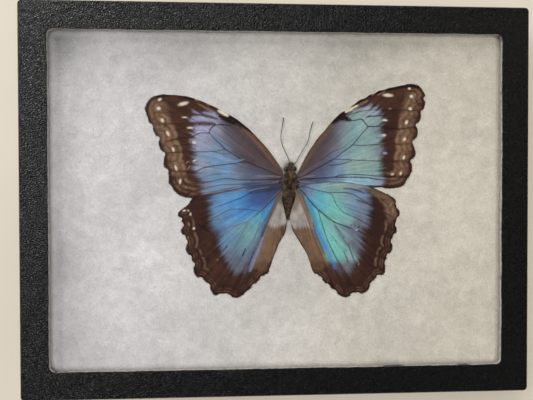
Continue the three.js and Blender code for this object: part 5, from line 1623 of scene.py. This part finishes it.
glass_low, glass_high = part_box("glass_pane")
ARRIS = 0.15
half_length, half_width = glass_high.x / MM, glass_high.y / MM
bottom, top = glass_low.z / MM, glass_high.z / MM
glass_loops = [
    level_loop(half_length - ARRIS, half_width - ARRIS, 0.3, bottom, 1, 1, 3),
    level_loop(half_length, half_width, 0.4, bottom + ARRIS, 1, 1, 3),
    level_loop(half_length, half_width, 0.4, top - ARRIS, 1, 1, 3),
    level_loop(half_length - ARRIS, half_width - ARRIS, 0.3, top, 1, 1, 3),
]
count = len(glass_loops[0])
glass_faces = band_faces(count, 4, closed=False)
glass_faces += [tuple(range(count))[::-1], tuple(range(3 * count, 4 * count))]
glass = make_piece("window_pane", [(np.concatenate(glass_loops), glass_faces, 0)], [window_glass],
    smooth=False)
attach(glass, "root")
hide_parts("glass_pane")


# ---- The lid ----------------------------------------------
# Pressboard clad in black grained paper, nested over the tray, with the window die-cut through its
# top. The cut leaves the board's raw grey edge bare, a little frayed and smudged with glue, and its foot
# by the glass is darkened with painted shade.

lid_leather = leather_material("lid_leatherette", (6, 6, 8), (3, 3, 4), 1000, 0.11)

cut_board, tree, surface, place = new_material("cut_board_edge", Roughness=0.95, Specular_IOR_Level=0.15)
pulp_grey = mottle(tree, place, 700, paint((176, 172, 166)), paint((212, 208, 202)), 0.3, 0.7, 4)
stain = add_node(tree, "Attribute", attribute_name="stain")
stained = blend(tree, stain.outputs["Fac"], pulp_grey, paint((42, 38, 38)))
feed(surface, "Base Color", stained)
fray = noise(tree, place, 2200, 4)
add_bump(tree, surface, fray, 0.2 * MM)

lid_low, lid_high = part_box("lid_frame")
LID_HALF_LENGTH, LID_HALF_WIDTH = lid_high.x / MM, lid_high.y / MM
LID_FOOT, LID_TOP = lid_low.z / MM, lid_high.z / MM
WINDOW_HALF_LENGTH, WINDOW_HALF_WIDTH, WINDOW_CORNER = 91.8, 68, 2.4
LID_FOLD = 1
CUT_DEPTH = BOARD

# Loops from the foot up the wall, over the top to the window, down its cut edge and back inside.
inner_length, inner_width = LID_HALF_LENGTH - BOARD, LID_HALF_WIDTH - BOARD
lid_levels = [
    (inner_length, inner_width, 0.4, LID_FOOT),
    (LID_HALF_LENGTH - 0.3, LID_HALF_WIDTH - 0.3, CORNER - 0.3, LID_FOOT),
    (LID_HALF_LENGTH, LID_HALF_WIDTH, CORNER, LID_FOOT + 0.3),
]
wall_heights = np.linspace(LID_FOOT + 2, LID_TOP - LID_FOLD - 2, 6)
lid_levels += [(LID_HALF_LENGTH, LID_HALF_WIDTH, CORNER, height) for height in wall_heights]
lid_levels += quarter_round(LID_HALF_LENGTH, LID_HALF_WIDTH, CORNER, LID_TOP - LID_FOLD, LID_FOLD,
                            upward=True, steps=6)
for share in (0.25, 0.5, 0.75):
    lid_levels.append((LID_HALF_LENGTH - LID_FOLD + share * (WINDOW_HALF_LENGTH - LID_HALF_LENGTH + LID_FOLD),
                       LID_HALF_WIDTH - LID_FOLD + share * (WINDOW_HALF_WIDTH - LID_HALF_WIDTH + LID_FOLD),
                       1.2 + share, LID_TOP))
lid_levels += [
    (WINDOW_HALF_LENGTH + 0.25, WINDOW_HALF_WIDTH + 0.25, WINDOW_CORNER + 0.2, LID_TOP),
    (WINDOW_HALF_LENGTH + 0.06, WINDOW_HALF_WIDTH + 0.06, WINDOW_CORNER, LID_TOP - 0.07),
    (WINDOW_HALF_LENGTH, WINDOW_HALF_WIDTH, WINDOW_CORNER, LID_TOP - 0.25),
]
CUT_ROWS = 5
for share in np.linspace(0.3, 1, CUT_ROWS):
    lid_levels.append((WINDOW_HALF_LENGTH, WINDOW_HALF_WIDTH, WINDOW_CORNER, LID_TOP - share * CUT_DEPTH))
lid_levels += [
    (inner_length - 0.1, inner_width - 0.1, 0.4, LID_TOP - CUT_DEPTH),
    (inner_length, inner_width, 0.4, LID_TOP - CUT_DEPTH - 0.1),
    (inner_length, inner_width, 0.4, 9),
]
lid_loops = [level_loop(*level, along=190, across=146, corner=8) for level in lid_levels]
loop_count = len(lid_loops[0])
lid_points = np.concatenate(lid_loops)
x, y, z = lid_points.T
on_cut = np.abs(z - (LID_TOP - CUT_DEPTH / 2)) < CUT_DEPTH / 2 + 0.01
on_cut &= (np.abs(x) < WINDOW_HALF_LENGTH + 0.3) & (np.abs(y) < WINDOW_HALF_WIDTH + 0.3)
frayed = 0.1 * value_noise((x + y) / 1.1, (x - y) / 1.1 + z, 91) + 0.12 * value_noise(x / 9, y / 9, 92)
shrink = np.where(on_cut, frayed, 0)[:, None]
lid_points[:, :2] += shrink * np.sign(lid_points[:, :2]) * (
    np.abs(lid_points[:, :2]) > np.array([WINDOW_HALF_LENGTH, WINDOW_HALF_WIDTH]) - 0.5)
on_top = z > LID_TOP - 0.02
lid_points[:, 2] -= np.where(on_top, 0.05 + 0.05 * value_noise(x / 7, y / 7, 93), 0)
lid_faces = band_faces(loop_count, len(lid_loops), closed=True)
first_cut = len(lid_levels) - 3 - CUT_ROWS - 1
lid_numbers = np.zeros(len(lid_faces), int)
lid_numbers[first_cut * loop_count:] = 1
lid = make_piece("lid_box", [(lid_points, lid_faces, lid_numbers)], [lid_leather, cut_board])

# Smudges of glue on the window's cut edge: place, reach and strength.
GLUE_MARKS = [
    (46.7, -68, 5.6, 0.8), (75.9, -68, 3, 0.8), (-89.4, -67.8, 0.7, 0.9), (-84.5, -68, 4, 0.35),
    (91.6, 68.2, 1.6, 0.9), (91.8, 66, 1.2, 0.5), (91.8, 20, 1, 0.4), (91.8, -32, 1.2, 0.5),
    (91.8, 44, 0.8, 0.5), (91.8, -12, 0.7, 0.4),
]
glue_and_foot_shades = np.zeros(len(lid.data.vertices))
x, y, z = spots(lid)
for mark_x, mark_y, reach, strength in GLUE_MARKS:
    gap = np.hypot(x - mark_x, y - mark_y)
    glue_and_foot_shades = np.maximum(glue_and_foot_shades, strength * (1 - smooth_step(gap, 0.5 * reach, reach)))
# Painted shade: the foot of the cut edge darkened, where the gap between board and glass lies in shadow.
cut_foot_shade = 1 - smooth_step(z, LID_TOP - CUT_DEPTH, LID_TOP - CUT_DEPTH + 0.35)
glue_and_foot_shades = np.maximum(glue_and_foot_shades, 0.2 * cut_foot_shade)
set_attribute(lid.data, "stain", glue_and_foot_shades)
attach(lid, "root")
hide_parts("lid_frame")


# ---- The four pins ----------------------------------------
# Plain steel dressmaker's pins, pushed through the lid's walls into the tray's, one at the middle
# of each side. They hold the lid on.

pin_steel, tree, surface, place = new_material("pin_steel", Metallic=1, Roughness=0.28)
feed(surface, "Base Color", mottle(tree, place, 1500, paint((176, 178, 181)), paint((206, 207, 209))))
drawn = noise(tree, place, 3000, 2)
shine = ranged(tree, drawn, 0, 1, 0.2, 0.4)
feed(surface, "Roughness", shine)

PIN_HEIGHT = 9.2
PIN_SHAFT = 0.32
PIN_HEAD = 0.95
PIN_LENGTH = 14
# From the point to the head: how far out, and the radius there.
PIN_PROFILE = [
    (-PIN_LENGTH, 0.02), (-PIN_LENGTH + 2.5, PIN_SHAFT), (0.02, PIN_SHAFT), (0.04, PIN_HEAD * 0.85),
    (0.12, PIN_HEAD), (0.3, PIN_HEAD), (0.46, PIN_HEAD * 0.86), (0.57, PIN_HEAD * 0.6),
    (0.62, PIN_HEAD * 0.3), (0.635, 0.02),
]


def make_pin(node, x, y, turn):
    """A pin turned on a lathe, its shaft pointing into the case from the place given."""
    around = 24
    turns = np.linspace(0, 2 * np.pi, around, endpoint=False)
    loops = [np.column_stack([np.full(around, out), radius * np.cos(turns), radius * np.sin(turns)])
             for out, radius in PIN_PROFILE]
    points = np.concatenate(loops)
    faces = band_faces(around, len(loops), closed=False)
    faces += [tuple(range(around)), tuple(range(len(points) - around, len(points)))]
    cosine, sine = math.cos(turn), math.sin(turn)
    placed = np.column_stack([x + points[:, 0] * cosine - points[:, 1] * sine,
                              y + points[:, 0] * sine + points[:, 1] * cosine, PIN_HEIGHT + points[:, 2]])
    pin = make_piece(node + "_steel", [(placed, faces, 0)], [pin_steel])
    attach(pin, "root")
    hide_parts(node)


make_pin("left_pin", -LID_HALF_LENGTH, 0, math.pi)
make_pin("right_pin", LID_HALF_LENGTH, 0, 0)
make_pin("head_side_pin", 0, LID_HALF_WIDTH, math.pi / 2)
make_pin("tail_side_pin", 0, -LID_HALF_WIDTH, -math.pi / 2)
